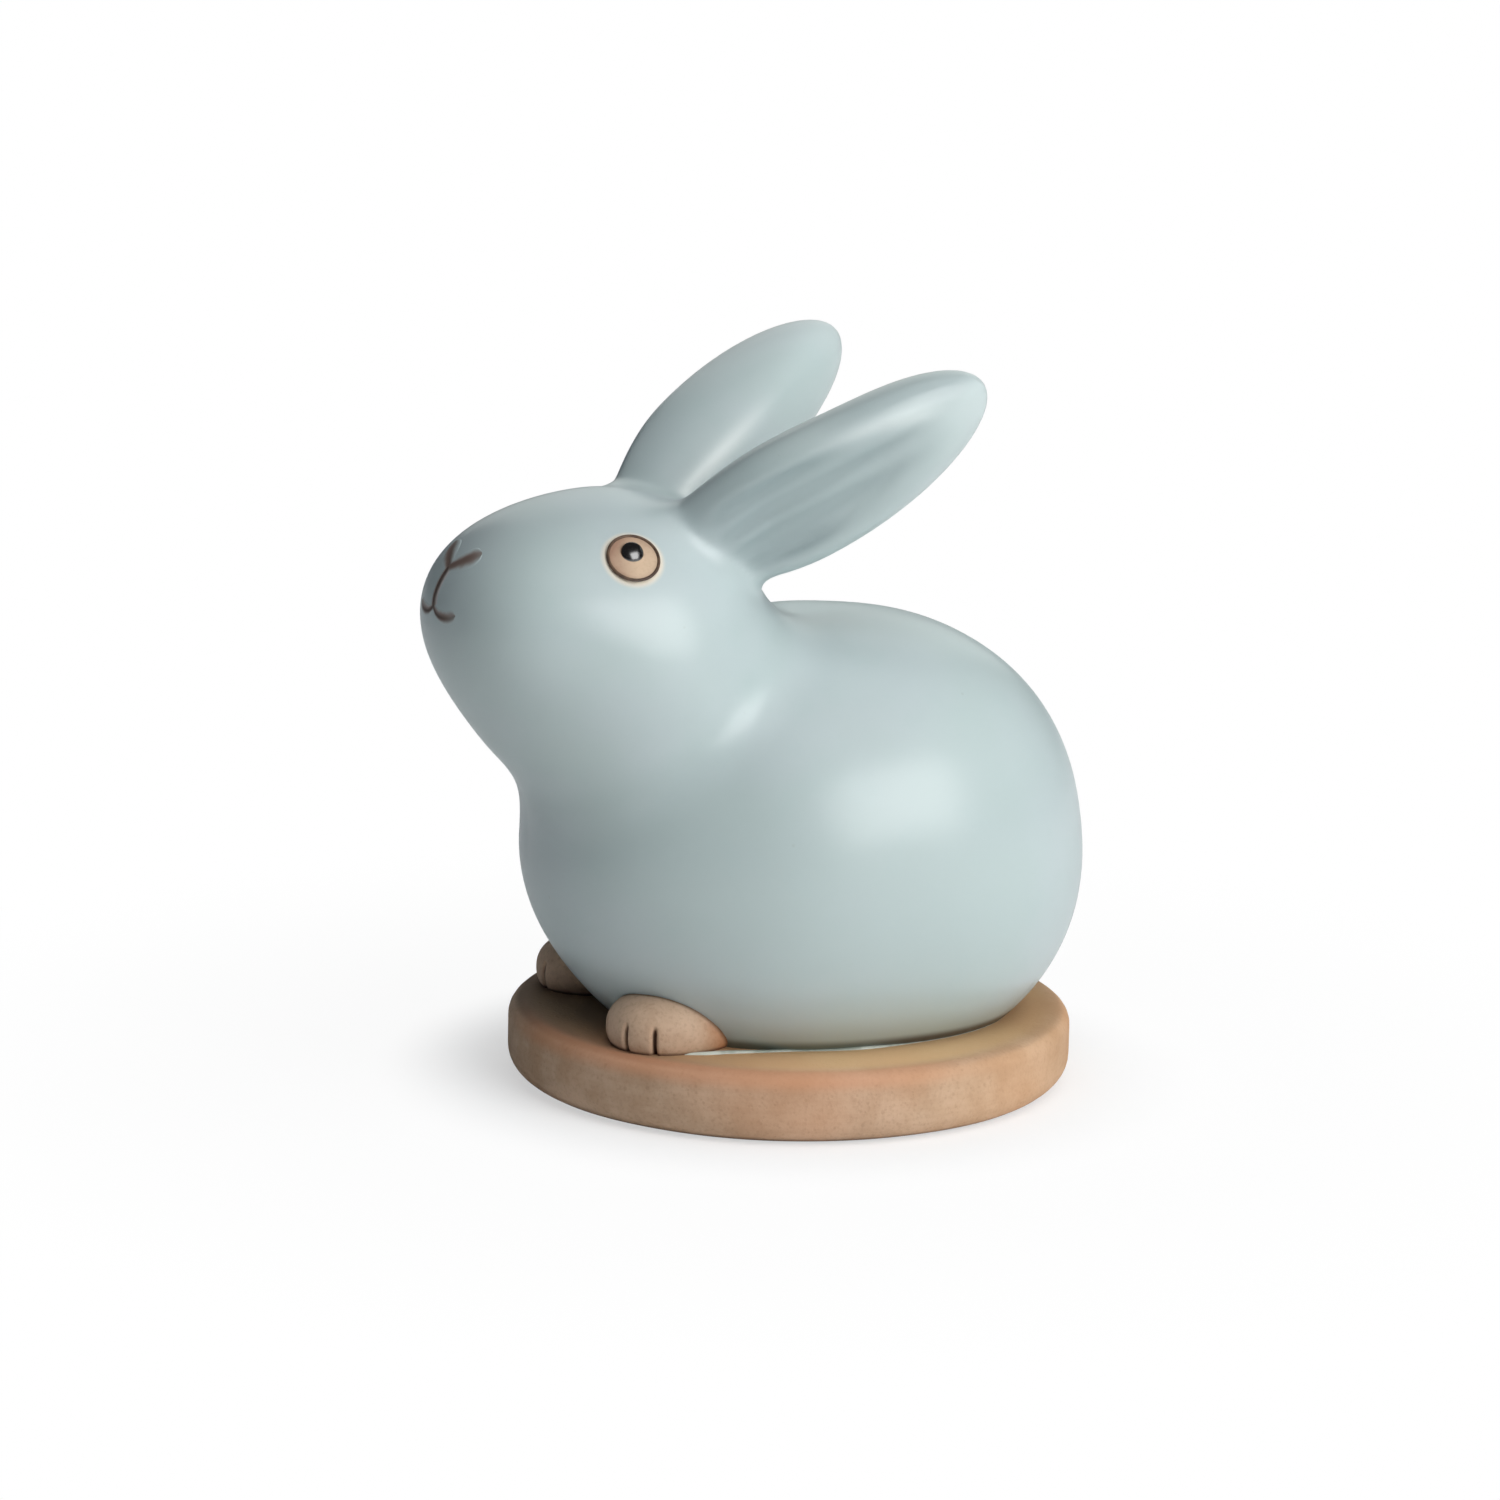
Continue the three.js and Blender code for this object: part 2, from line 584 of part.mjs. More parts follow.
// Pooled glaze: a low fillet between the body's foot and the disc, from paw to paw round the back
function makePool() {
  const axis = new THREE.Vector3(0, torsoCentre.y, 0);
  const clear = torsoSide(SEAM_GAP);
  const paw = pawCentre(1).sub(axis);
  const start = Math.atan2(paw.y, paw.x);
  const sections = Array.from({ length: POOL_SIDES + 1 }, (_, side) => {
    const angle = start + (side / POOL_SIDES) * (Math.PI - 2 * start);
    const level = new THREE.Vector3(Math.cos(angle), Math.sin(angle), 0);
    const foot = exitPoint(axis, level, clear);
    const crest = exitPoint(axis.clone().setZ(POOL_HEIGHT), level, clear);
    const brim = foot.clone().addScaledVector(level, POOL_WIDTH);
    return [foot, brim, brim.clone().setZ(POOL_RIM), crest];
  });
  const ends = [sections[0], sections[POOL_SIDES]].map((section) => {
    return section.reduce((sum, corner) => sum.add(corner), new THREE.Vector3()).divideScalar(section.length);
  });
  const whole = solidOf(loft(sections, ends));
  return [1, -1].reduce((pool, side) => {
    return pool.subtract(skinSolid(pawCentre(side), pawForm(side, SEAM_GAP), PAW_DETAIL));
  }, whole);
}

addPiece(teaPet, "base_disc", makeDisc(), materials.clay);
addPiece(rabbit, "torso_shell", makeTorso(), materials.glaze);
addPiece(rabbit, "head_shell", makeHead(), materials.glaze);
addPiece(rabbit, "tail", tailSolid(0), materials.glaze);
addPiece(rabbit, "nose_mouth_line", noseMouthSolid(0), materials.ironSlip);
addPiece(rabbit, "foot_glaze", makePool(), materials.pooledGlaze);

const sides = { left: 1, right: -1 };
const eyePieces = {
  eye_pad: [makeEyePad(), materials.eyeClay],
  eye_line: [makeEyeLine(), materials.ironSlip],
  pupil: [makePupil(), materials.pupilGlaze],
};
for (const [name, side] of Object.entries(sides)) {
  addPiece(rabbit, `${name}_ear`, makeEar(side), materials.glaze);
  addPiece(rabbit, `${name}_front_paw`, makePaw(side), materials.pawClay);
  const eye = new THREE.Group();
  eyeFrame(side).decompose(eye.position, eye.quaternion, eye.scale);
  rabbit.add(eye);
  for (const [piece, [solid, material]] of Object.entries(eyePieces)) {
    addPiece(eye, `${name}_${piece}`, solid, material);
  }
  eye.getObjectByName(`${name}_pupil`).position.y = PUPIL_ABOVE_EYE;
}

export default teaPet;
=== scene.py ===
"""Tea pet: a celadon rabbit crouching on a disc of bare clay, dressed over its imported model."""

import math

import bmesh
import bpy
import numpy as np
from mathutils import Matrix, Vector


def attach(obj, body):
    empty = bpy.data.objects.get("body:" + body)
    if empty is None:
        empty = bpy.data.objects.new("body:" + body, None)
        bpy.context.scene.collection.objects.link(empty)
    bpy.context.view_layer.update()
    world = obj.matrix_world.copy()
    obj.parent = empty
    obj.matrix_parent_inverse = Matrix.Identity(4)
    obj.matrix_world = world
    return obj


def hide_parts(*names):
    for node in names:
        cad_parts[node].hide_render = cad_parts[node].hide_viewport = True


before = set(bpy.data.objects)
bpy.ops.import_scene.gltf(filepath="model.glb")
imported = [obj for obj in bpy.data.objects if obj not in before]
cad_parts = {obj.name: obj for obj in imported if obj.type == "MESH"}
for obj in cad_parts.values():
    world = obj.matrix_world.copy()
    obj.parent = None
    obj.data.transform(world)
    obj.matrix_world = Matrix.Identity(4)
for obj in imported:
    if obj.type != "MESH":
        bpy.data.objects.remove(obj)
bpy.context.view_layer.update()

MM = 0.001
scene = bpy.context.scene

# Clay disc, in millimetres as all sizes here
DISC_RADIUS = 30
DISC_THICKNESS = 7.6
DISC_TOP_EDGE = 1.7
DISC_LOWER_EDGE = 2.8
DISC_SIDES = 160
DISC_RUNGS = 140
DISC_WOBBLE = 0.15
VENT_RADIUS = 3.5
VENT_BEHIND_CENTRE = 8
VENT_SIDES = 40
VENT_CREASE = 0.7  # radians between faces

# Body: torso, chest, head and muzzle as rounded forms that run together
TORSO_SIZE = (51.8, 56, 49.7)
TORSO_FULLNESS = 2.24
TORSO_PITCH = math.radians(8.5)
TORSO_CENTRE = (0, 2.65, DISC_THICKNESS + 17.2)
CHEST_SIZE = (33.9, 32.8, 30)
CHEST_CENTRE = (0, TORSO_CENTRE[1] - 15.3, TORSO_CENTRE[2] + 0.3)
CHEST_BLEND = 6.4
HEAD_SIZE = (33.4, 37.6, 33.2)
HEAD_REAR_SHARE = 0.8
HEAD_PITCH = math.radians(-32)
HEAD_TURN = math.radians(6.2)
HEAD_AHEAD = 7.65
HEAD_ABOVE = 22
THROAT_BLEND = 6.65
NAPE_BLEND = 7.7
THROAT_TO_NAPE = (40, 48)
WITHERS_RISE = 0.78
WITHERS_AT = (8.6, -1.8, 49)
WITHERS_SPREAD = 6.4
THROAT_RISE = 0.29
THROAT_AT = (3.5, -29.1, 29.3)
THROAT_SPREAD = 4.5
MUZZLE_SIZE = (20.2, 14.2, 13.3)
MUZZLE_AHEAD = 12.4
MUZZLE_ABOVE = 5.05
MUZZLE_BLEND = 8.3
FOOT_SINK = 0.25
GLAZE_POOL_DEPTH = (0.15, 1.6)
RABBIT_LOW = (-28, -43, 6)
RABBIT_HIGH = (28, 33.5, 80)
RABBIT_GRAIN = 0.45

# Tail pellet on the rump
TAIL_SIZE = (10, 6, 10)
TAIL_PROUD = 1.8
TAIL_HEIGHT = DISC_THICKNESS + 9.4
TAIL_BLEND = 1.2

# Ears: bent leaves, dished in front and ridged behind
EAR_LENGTH = 32.8
EAR_WIDTH = 14.8
EAR_FRONT = 3.9
EAR_BACK = 7
EAR_OUT = math.radians(34.4)
EAR_LIFT = math.radians(26.2)
EAR_ROLL = math.radians(64.5)
EAR_BEND = 6.5
EAR_WIDEST_AT = 11.2
EAR_ROOT_WIDTH = 11
EAR_ROOT_ASIDE = math.radians(132.7)
EAR_ROOT_RISE = math.radians(51.5)
EAR_ROOT_DEPTH = 1.2
EAR_STUB = 4
EAR_DISH = 2.2
EAR_FOLD_DEPTH = 0.42
EAR_BLEND = 2.8

# Ears, as shares of the length or of the half width; each furrow has its place across, width and end
EAR_BACK_FULLNESS = 1.5
EAR_RIDGE_ASIDE = 0.14
EAR_RIDGE_ROUND = 0.005
EAR_RIDGE_END = (0.5, 0.95)
EAR_SLIM = 0.3
EAR_SLIM_ACROSS = (0.2, 0.9)
EAR_DISH_EDGE = (0.24, 0.82)
EAR_DISH_START = (0.02, 0.3)
EAR_FOLDS = ((0.58, 0.14, 0.62), (0.20, 0.11, 0.95), (-0.18, 0.12, 0.85), (-0.50, 0.14, 0.50))
EAR_FOLD_START = (0.04, 0.16)
EAR_FOLD_FADE = 0.55

# Paws with cut toes and a drawn-out heel
PAW_SIZE = (11.7, 13.4, 8)
PAW_FULLNESS = 2.3
PAW_TOE_OUT = math.radians(7)
PAW_ASIDE = math.radians(35)
PAW_SINK = 0.3
PAW_HEIGHT = DISC_THICKNESS + 1.7
PAW_IN_BODY = 0.4
PAW_IN_DISC = 0.15
PAW_REACH = (7.5, 8.5)
PAW_BELOW = 3
PAW_ABOVE = 5
PAW_GRAIN = 0.16
HEEL_DRAWN = 0.13
HEEL_DROP = 0.45
HEEL_RANGE = (0.5, 7.5)
TOE_CUTS = [math.radians(angle) for angle in (-17, 20, 49)]
TOE_CUT_WIDTH = 0.24
TOE_CUT_DEPTH = 0.75
TOE_CUT_START = (2.5, 3.5)
TOE_CUT_TOP = (2.2, 3.3)
# painted shade in the crevices where a paw meets the body and the disc
CREVICE_SHADE_AT_BODY = (0.05, 0.5)
CREVICE_SHADE_AT_DISC = (0.1, 0.4)

# Eyes
EYE_RADIUS = 2.85
EYE_ASIDE = math.radians(73)
EYE_RISE = math.radians(45)
EYE_LIFT = 0.08
EYE_HALO = 0.75
EYE_LINE = 0.34
EYE_LINE_PROUD = 0.14
EYE_SIDES = 64
EYE_RUNGS = 48
PAD_DEPTH = 1.2
PAD_UNDER_LINE = 0.1
PAD_RISE = 0.04
PAD_DIP = 0.02
PAD_DIP_AT = 0.8
PUPIL_RADIUS = 1.21
PUPIL_DEPTH = 0.4
PUPIL_DOME = 0.55
PUPIL_ABOVE_EYE = 0.6
PUPIL_LEAN = math.radians(14)

# Nose and mouth, as degrees aside and up from the middle of the head
NOSE_WING = ((0, 28), (3.6, 30.0), (7.8, 32.4), (11.5, 35))
LIP_LINE = ((0, 16.8), (-0.8, 20.4), (-0.6, 24.2), (0, 28))
MOUTH = ((0, 16.8), (2.4, 15.3), (6.4, 14.7), (12.2, 16.1))
STROKES = (
    {"angles": LIP_LINE, "sides": (1,), "breadth": 0.85, "ink": 0.85, "lit": 1, "free": False},
    {"angles": NOSE_WING, "sides": (1, -1), "breadth": 1.4, "ink": 0.3, "lit": 0, "free": True},
    {"angles": MOUTH, "sides": (1, -1), "breadth": 0.8, "ink": 0.75, "lit": 0, "free": True},
)
STROKE_PROUD = 0.06
STROKE_SINK = 0.015
STROKE_POINTS = 48
STROKE_RUNGS = 60
STROKE_SIDES = 24

# Glaze run round the foot: place and half breadth beside the paw, then by degrees round the body
RUN_BESIDE_PAW = ((16.9, -19.2), (17.6, -17.4), (18.0, -15.6), (18.1, -13.6), (18.4, -11.6))
RUN_PAW_BREADTHS = (0.12, 0.30, 0.42, 0.44, 0.36)
RUN_DEGREES = (-24, 90)
RUN_POINTS = 80
RUN_THINNEST = 0.05
RUN_SWELLS = ((0.2, -26, 10), (0.42, -4, 12))
RUN_LOWNESS = 0.6
RUN_RUNGS = 260
RUN_SIDES = 16

# Skin of a form: how deep the cloud that it is drawn from fades, and how often it is pulled onto the form
SKIN_FADE = 4
SKIN_PULLS = 3

# Camera at the photograph's angle, and what the lamps point at
CAMERA_AZIMUTH = math.radians(70.64)
CAMERA_ELEVATION = math.radians(13)
CAMERA_ROLL = math.radians(1.13)
CAMERA_AWAY = 700
CAMERA_LENS = 158.52
LOOK_ASIDE = -4.69
LOOK_HEIGHT = 34.93
LAMP_AIM_HEIGHT = 35


def tint(red, green, blue):
    """A colour from screen values to the linear values of a socket."""
    shares = [part / 255 for part in (red, green, blue)]
    linear = [part / 12.92 if part <= 0.04 else ((part + 0.055) / 1.055) ** 2.4 for part in shares]
    return (*linear, 1.0)


# Colours; clays are a pale tone, a dark tone and their specks
WHITE = (1, 1, 1, 1)
GLAZE = tint(183, 199, 198)
GLAZE_BLUER = tint(187, 201, 202)
GLAZE_CLOUD = tint(180, 198, 197)
GLAZE_PINHOLE = tint(156, 168, 160)
GLAZE_POOLED = tint(158, 180, 176)
# pale glaze broken thin over rims, also the painted highlights on the ears
GLAZE_BROKEN_AND_HIGHLIGHT = tint(232, 240, 238)
# grey glaze gathered in hollows, also the painted shade on the ears
GLAZE_GATHERED_AND_SHADE = tint(142, 159, 161)
EYE_HALO_CREAM = tint(236, 224, 204)
FOOT_SHADE_AND_THIN_GLAZE = tint(140, 154, 146)
FOOT_DARK_EDGE_AND_SHADOW = tint(92, 102, 92)
FOOT_SHADOW_REAR = tint(54, 40, 26)
DISC_CLAY = (tint(204, 176, 150), tint(180, 150, 122), tint(126, 100, 78))
DISC_TURNING = tint(150, 116, 90)
DISC_TOP = tint(218, 182, 134)
DISC_TOP_REAR = tint(160, 126, 88)
DISC_SCORCH_AND_SHADE = tint(106, 78, 62)
DISC_FIRED_EDGE = tint(206, 144, 108)
DISC_FLUSH = tint(200, 146, 108)
DISC_CONTACT_SHADOW = tint(92, 70, 56)
DISC_REAR_SIDE = tint(206, 162, 118)
PAW_CLAY = (tint(208, 180, 154), tint(180, 150, 124), tint(122, 92, 70))
PAW_HEEL = tint(190, 124, 74)
PAW_CUT = tint(74, 48, 32)
PAW_CREVICE_SHADE = tint(84, 58, 40)
EYE_CLAY = (tint(222, 198, 170), tint(214, 188, 158), tint(170, 138, 108))
EYE_SHADE = tint(144, 108, 88)
RING_DARK = tint(70, 52, 42)
RING_WORN = tint(104, 82, 64)
STROKE_WASH = tint(160, 146, 136)
STROKE_SLIP = tint(124, 99, 88)
STROKE_INK = tint(66, 48, 40)
STROKE_LIT = tint(216, 202, 200)
PUPIL_BLACK = tint(4, 3, 3)
PUPIL_BROWN = tint(10, 8, 7)
RUN_GREY = tint(160, 170, 158)
RUN_MILKY = tint(206, 214, 204)
PAPER = tint(250, 250, 250)
PAPER_PALE = tint(252, 252, 252)
ROOM_LIGHT = (0.018, 0.022, 0.032, 1)
ROOM_MIRRORED = (0.06, 0.06, 0.065, 1)


class Wire:
    """A socket of a node tree that takes part in Python expressions. With no socket it is the bare tree."""

    def __init__(self, tree, socket=None):
        self.tree = tree
        self.socket = socket

    def node(self, kind, settings=(), inputs=(), output=0):
        """Adds a node, makes its settings, fills or links its sockets and gives one output or all."""
        made = self.tree.nodes.new(kind)
        for name, value in dict(settings).items():
            setattr(made, name, value)
        for name, value in dict(inputs).items():
            if isinstance(value, Wire):
                self.tree.links.new(value.socket, made.inputs[name])
            else:
                made.inputs[name].default_value = value
        if output == "all":
            return [Wire(self.tree, socket) for socket in made.outputs]
        return Wire(self.tree, made.outputs[output]) if len(made.outputs) else Wire(self.tree)

    def math(self, operation, *values):
        return self.node("ShaderNodeMath", {"operation": operation}, dict(enumerate(values)))

    def __add__(self, other):
        return self.math("ADD", self, other)

    def __radd__(self, other):
        return self.math("ADD", other, self)

    def __sub__(self, other):
        return self.math("SUBTRACT", self, other)

    def __rsub__(self, other):
        return self.math("SUBTRACT", other, self)

    def __mul__(self, other):
        return self.math("MULTIPLY", self, other)

    def __rmul__(self, other):
        return self.math("MULTIPLY", other, self)

    def __truediv__(self, other):
        return self.math("DIVIDE", self, other)

    def __rtruediv__(self, other):
        return self.math("DIVIDE", other, self)

    def __pow__(self, other):
        return self.math("POWER", self, other)

    def __neg__(self):
        return self.math("MULTIPLY", self, -1)

    def __abs__(self):
        return self.math("ABSOLUTE", self)


# Expressions that work on numbers, arrays and wires alike

TINY = 1e-6


def least(a, b):
    return a.math("MINIMUM", a, b) if isinstance(a, Wire) else np.minimum(a, b)


def most(a, b):
    return a.math("MAXIMUM", a, b) if isinstance(a, Wire) else np.maximum(a, b)


def limited(a):
    return least(most(a, 0), 1)


def sine(a):
    return a.math("SINE", a) if isinstance(a, Wire) else np.sin(a)


def bell(a):
    """One at zero, falling off to both sides."""
    return a.math("EXPONENT", -(a * a)) if isinstance(a, Wire) else np.exp(-(a * a))


def ramp(a, low, high):
    """From nought at the first bound to one at the second, soft at both."""
    part = limited((a - low) / (high - low))
    return part * part * (3 - 2 * part)


def turned_to(a, b, angle):
    """Two coordinates as seen in a frame that is turned by the angle."""
    return a * math.cos(angle) + b * math.sin(angle), b * math.cos(angle) - a * math.sin(angle)


def rounded(place, size, fullness=2):
    """Depth of a place in a rounded form about the origin, negative inside."""
    reaches = [abs(part) / (length / 2) + TINY for part, length in zip(place, size)]
    total = (reaches[0] ** fullness + reaches[1] ** fullness + reaches[2] ** fullness) ** (1 / fullness)
    slopes = [(part / total) ** (fullness - 1) / (length / 2) for part, length in zip(reaches, size)]
    steepness = (slopes[0] ** 2 + slopes[1] ** 2 + slopes[2] ** 2) ** 0.5
    return (total - 1) / steepness


def run_together(first, second, width):
    """Two forms joined with a soft crease."""
    share = limited(0.5 + 0.5 * (second - first) / width)
    return second + (first - second) * share - width * share * (1 - share)


# Body and head as forms: the depth of a place below the skin, negative inside


def head_place(x, y, z):
    """A place in the head's own turned frame."""
    across, along = turned_to(x - CHEST_CENTRE[0], y - CHEST_CENTRE[1], HEAD_TURN)
    return across, along + HEAD_AHEAD, z - CHEST_CENTRE[2] - HEAD_ABOVE


def torso_form(x, y, z):
    along, up = turned_to(y - TORSO_CENTRE[1], z - TORSO_CENTRE[2], TORSO_PITCH)
    torso = rounded((x, along, up), TORSO_SIZE, TORSO_FULLNESS)
    chest = rounded((x, y - CHEST_CENTRE[1], z - CHEST_CENTRE[2]), CHEST_SIZE)
    body = run_together(torso, chest, CHEST_BLEND)
    for rise, middle, spread in (
        (WITHERS_RISE, WITHERS_AT, WITHERS_SPREAD),
        (THROAT_RISE, THROAT_AT, THROAT_SPREAD),
    ):
        off = (abs(x) - middle[0], y - middle[1], z - middle[2])
        body = body - rise * bell((off[0] * off[0] + off[1] * off[1] + off[2] * off[2]) ** 0.5 / spread)
    return body


def head_form(x, y, z):
    across, along, up = head_place(x, y, z)
    tipped_along, tipped_up = turned_to(along, up, HEAD_PITCH)
    tipped_along = least(tipped_along, 0) + most(tipped_along, 0) / HEAD_REAR_SHARE
    skull = rounded((across, tipped_along, tipped_up), HEAD_SIZE)
    muzzle = rounded((across, along + MUZZLE_AHEAD, up - MUZZLE_ABOVE), MUZZLE_SIZE)
    return run_together(skull, muzzle, MUZZLE_BLEND)


def neck_blend(z):
    """Width of the neck crease, a little tighter at the throat than at the nape."""
    return THROAT_BLEND + (NAPE_BLEND - THROAT_BLEND) * ramp(z, *THROAT_TO_NAPE)


def figure_form(x, y, z):
    return run_together(torso_form(x, y, z), head_form(x, y, z), neck_blend(z))


def exit_point(start, direction, form=figure_form):
    """The first place where a ray from inside the form leaves it."""
    start, direction = np.array(start, float), np.array(direction, float)
    inside, outside = 0.0, 1.0
    while form(*(start + outside * direction)) < 0:
        inside, outside = outside, outside + 1.0
    for _ in range(40):
        middle = (inside + outside) / 2
        if form(*(start + middle * direction)) < 0:
            inside = middle
        else:
            outside = middle
    return start + inside * direction


def outward(point, form=figure_form, step=0.01):
    slopes = [form(*(point + step * axis)) - form(*(point - step * axis)) for axis in np.eye(3)]
    return np.array(slopes) / np.linalg.norm(slopes)


def head_world(across, along, up):
    """A place or, with the head's middle taken off, a direction from the head's frame to the world."""
    x, y = turned_to(across, along - HEAD_AHEAD, -HEAD_TURN)
    return np.array([x + CHEST_CENTRE[0], y + CHEST_CENTRE[1], up + CHEST_CENTRE[2] + HEAD_ABOVE])


head_middle = head_world(0, 0, 0)


def head_direction(aside, rise):
    flat = math.cos(rise)
    return head_world(flat * math.sin(aside), -flat * math.cos(aside), math.sin(rise)) - head_middle


def on_head(aside, rise):
    return exit_point(head_middle, head_direction(aside, rise))


# Ear: places along, across and through its leaf

ear_along = np.array([
    math.sin(EAR_OUT) * math.cos(EAR_LIFT),
    math.cos(EAR_OUT) * math.cos(EAR_LIFT),
    math.sin(EAR_LIFT),
])
ear_level = np.cross(ear_along, (0, 0, 1))
ear_level /= np.linalg.norm(ear_level)
ear_across = math.cos(EAR_ROLL) * ear_level + math.sin(EAR_ROLL) * np.cross(ear_level, ear_along)
ear_through = np.cross(ear_across, ear_along)


def ear_root(side):
    aside = side * EAR_ROOT_ASIDE
    return on_head(aside, EAR_ROOT_RISE) - EAR_ROOT_DEPTH * head_direction(aside, EAR_ROOT_RISE)


def ear_parts(x, y, z, side):
    """How far a place lies along the ear, and across and through it as shares of its leaf there."""
    root = ear_root(side)
    out, back = turned_to(x - root[0], y - root[1], HEAD_TURN)
    local = (side * out, back, z - root[2])
    along, across, through = (
        local[0] * axis[0] + local[1] * axis[1] + local[2] * axis[2]
        for axis in (ear_along, ear_across, ear_through)
    )
    through = through - EAR_BEND * (most(along, 0) / EAR_LENGTH) ** 2
    root_share = EAR_ROOT_WIDTH / EAR_WIDTH
    share = root_share + (1 - root_share) * sine(limited(along / EAR_WIDEST_AT) * (math.pi / 2))
    through = most(through, 0) / EAR_BACK - most(-1 * through, 0) / EAR_FRONT
    return along, across / (share * EAR_WIDTH / 2), through / share, share


def ear_rim(along, across):
    """How near a place lies to the rim, one on it, and how near to the tip."""
    tip = most(along - EAR_WIDEST_AT, 0) / (EAR_LENGTH - EAR_WIDEST_AT)
    return (across * across + tip * tip) ** 0.5, tip


def in_front(through):
    """One on the dished front of the leaf, running out towards its middle."""
    return limited(-2 * through)


def ear_folds(along, across):
    """Soft furrows that run from the root up the dish, one where they are deepest."""
    part = limited(along / EAR_LENGTH)
    depth = 0
    for aside, width, end in EAR_FOLDS:
        depth = depth + bell((across - aside) / width) * (1 - ramp(part, end * EAR_FOLD_FADE, end))
    return depth * ramp(part, *EAR_FOLD_START)


def ear_form(x, y, z, side):
    along, across, through, share = ear_parts(x, y, z, side)
    part = limited(along / EAR_LENGTH)
    edge, tip = ear_rim(along, across)
    dish = EAR_DISH * (1 - ramp(edge, *EAR_DISH_EDGE)) * ramp(part, *EAR_DISH_START)
    hollow = dish + EAR_FOLD_DEPTH * ear_folds(along, across)
    through = through - hollow * in_front(through) / EAR_FRONT
    behind = limited(through / 0.0001)
    fullness = 2 - (2 - EAR_BACK_FULLNESS) * behind * (1 - ramp(part, *EAR_RIDGE_END))
    front = EAR_FRONT * (1 - EAR_SLIM * ramp(across, *EAR_SLIM_ACROSS))
    thickness = share * (front + (EAR_BACK - front) * behind)
    across = across - EAR_RIDGE_ASIDE * behind * most(1 - edge * edge, 0)
    aside, off = (across * across + EAR_RIDGE_ROUND) ** 0.5, abs(through) + TINY
    flat = (aside**fullness + off**fullness) ** (1 / fullness)
    reach = most((flat * flat + tip * tip) ** 0.5, 100 * TINY)
    slopes = (
        (aside / flat) ** (fullness - 1) * flat / (share * EAR_WIDTH / 2),
        (off / flat) ** (fullness - 1) * flat / thickness,
        tip / (EAR_LENGTH - EAR_WIDEST_AT),
    )
    steepness = most((slopes[0] ** 2 + slopes[1] ** 2 + slopes[2] ** 2) ** 0.5 / reach, 0.05)
    return most((reach - 1) / steepness, -EAR_STUB - along)


def ear_tones(x, y, z, side, ear):
    """Where the glaze breaks thin and pale on an ear, with painted highlights on the back's ridge and inside
    the rim near the tip, and where it gathers grey, with painted shade along the upper edge.
    """
    along, across, through, _ = ear_parts(x, y, z, side)
    edge, _ = ear_rim(along, across)
    on_ear = 1 - ramp(ear, 0.1, 0.6)
    front, back = in_front(through), limited(2 * through)
    near_rim = ramp(edge, 0.66, 0.95) * ramp(along, 8, 20)
    # painted highlight along the ridge on the back of the ear, near its root
    ridge_highlight = bell((across - EAR_RIDGE_ASIDE) / 0.15) * back * (1 - ramp(along, 6, 20))
    upper_tip = ramp(across, 0.1, 0.4) * ramp(along, 13, 22)
    # painted highlight inside the upper rim near the tip
    crest_highlight = bell((edge - 0.77) / 0.07) * upper_tip * front
    # pale glaze broken over the rim, plus the painted highlights
    broken_and_highlight = limited(0.2 * near_rim + ridge_highlight + 0.35 * crest_highlight) * on_ear
    # painted shade along the upper edge near the root
    upper_root_shade = ramp(across, 0.35, 0.9) * (1 - ramp(along, 6, 24))
    dished = (1 - ramp(abs(across), 0.3, 0.95)) * (1 - ramp(along, 8, 30))
    furrowed = limited(0.8 * ear_folds(along, across) + 0.65 * dished) * front
    # painted shade on the upper margin near the tip
    margin_shade = ramp(edge, 0.81, 0.95) * upper_tip * limited(0.6 - 2 * through)
    # grey glaze gathered in the dish and furrows, plus the painted shade
    gathered_and_shade = limited(furrowed + (0.3 + 0.3 * front) * upper_root_shade + 0.7 * margin_shade) * on_ear
    return broken_and_highlight, gathered_and_shade


rump = exit_point((0, TORSO_CENTRE[1], TAIL_HEIGHT), (0, 1, 0))


def tail_form(x, y, z):
    return rounded((x, y - rump[1] - TAIL_PROUD + TAIL_SIZE[1] / 2, z - TAIL_HEIGHT), TAIL_SIZE)


# Node trees that shape the pieces


def start_tree(name, sizes=()):
    """A new geometry tree, its bare wire and its inputs by name."""
    tree = bpy.data.node_groups.new(name, "GeometryNodeTree")
    tree.interface.new_socket("Geometry", in_out="OUTPUT", socket_type="NodeSocketGeometry")
    tree.interface.new_socket("Geometry", in_out="INPUT", socket_type="NodeSocketGeometry")
    for size in sizes:
        tree.interface.new_socket(size, in_out="INPUT", socket_type="NodeSocketFloat")
    sheet = Wire(tree)
    given = sheet.node("NodeGroupInput", output="all")
    return sheet, dict(zip(["Geometry", *sizes], given))


def end_tree(sheet, geometry, material):
    """Ends a tree with its instances made real and its finish set."""
    smooth = sheet.node("GeometryNodeSetShadeSmooth", (), {"Geometry": geometry})
    real = sheet.node("GeometryNodeRealizeInstances", (), {"Geometry": smooth})
    finished = sheet.node("GeometryNodeSetMaterial", (), {"Geometry": real, "Material": material})
    sheet.node("NodeGroupOutput", (), {0: finished})
    return sheet.tree


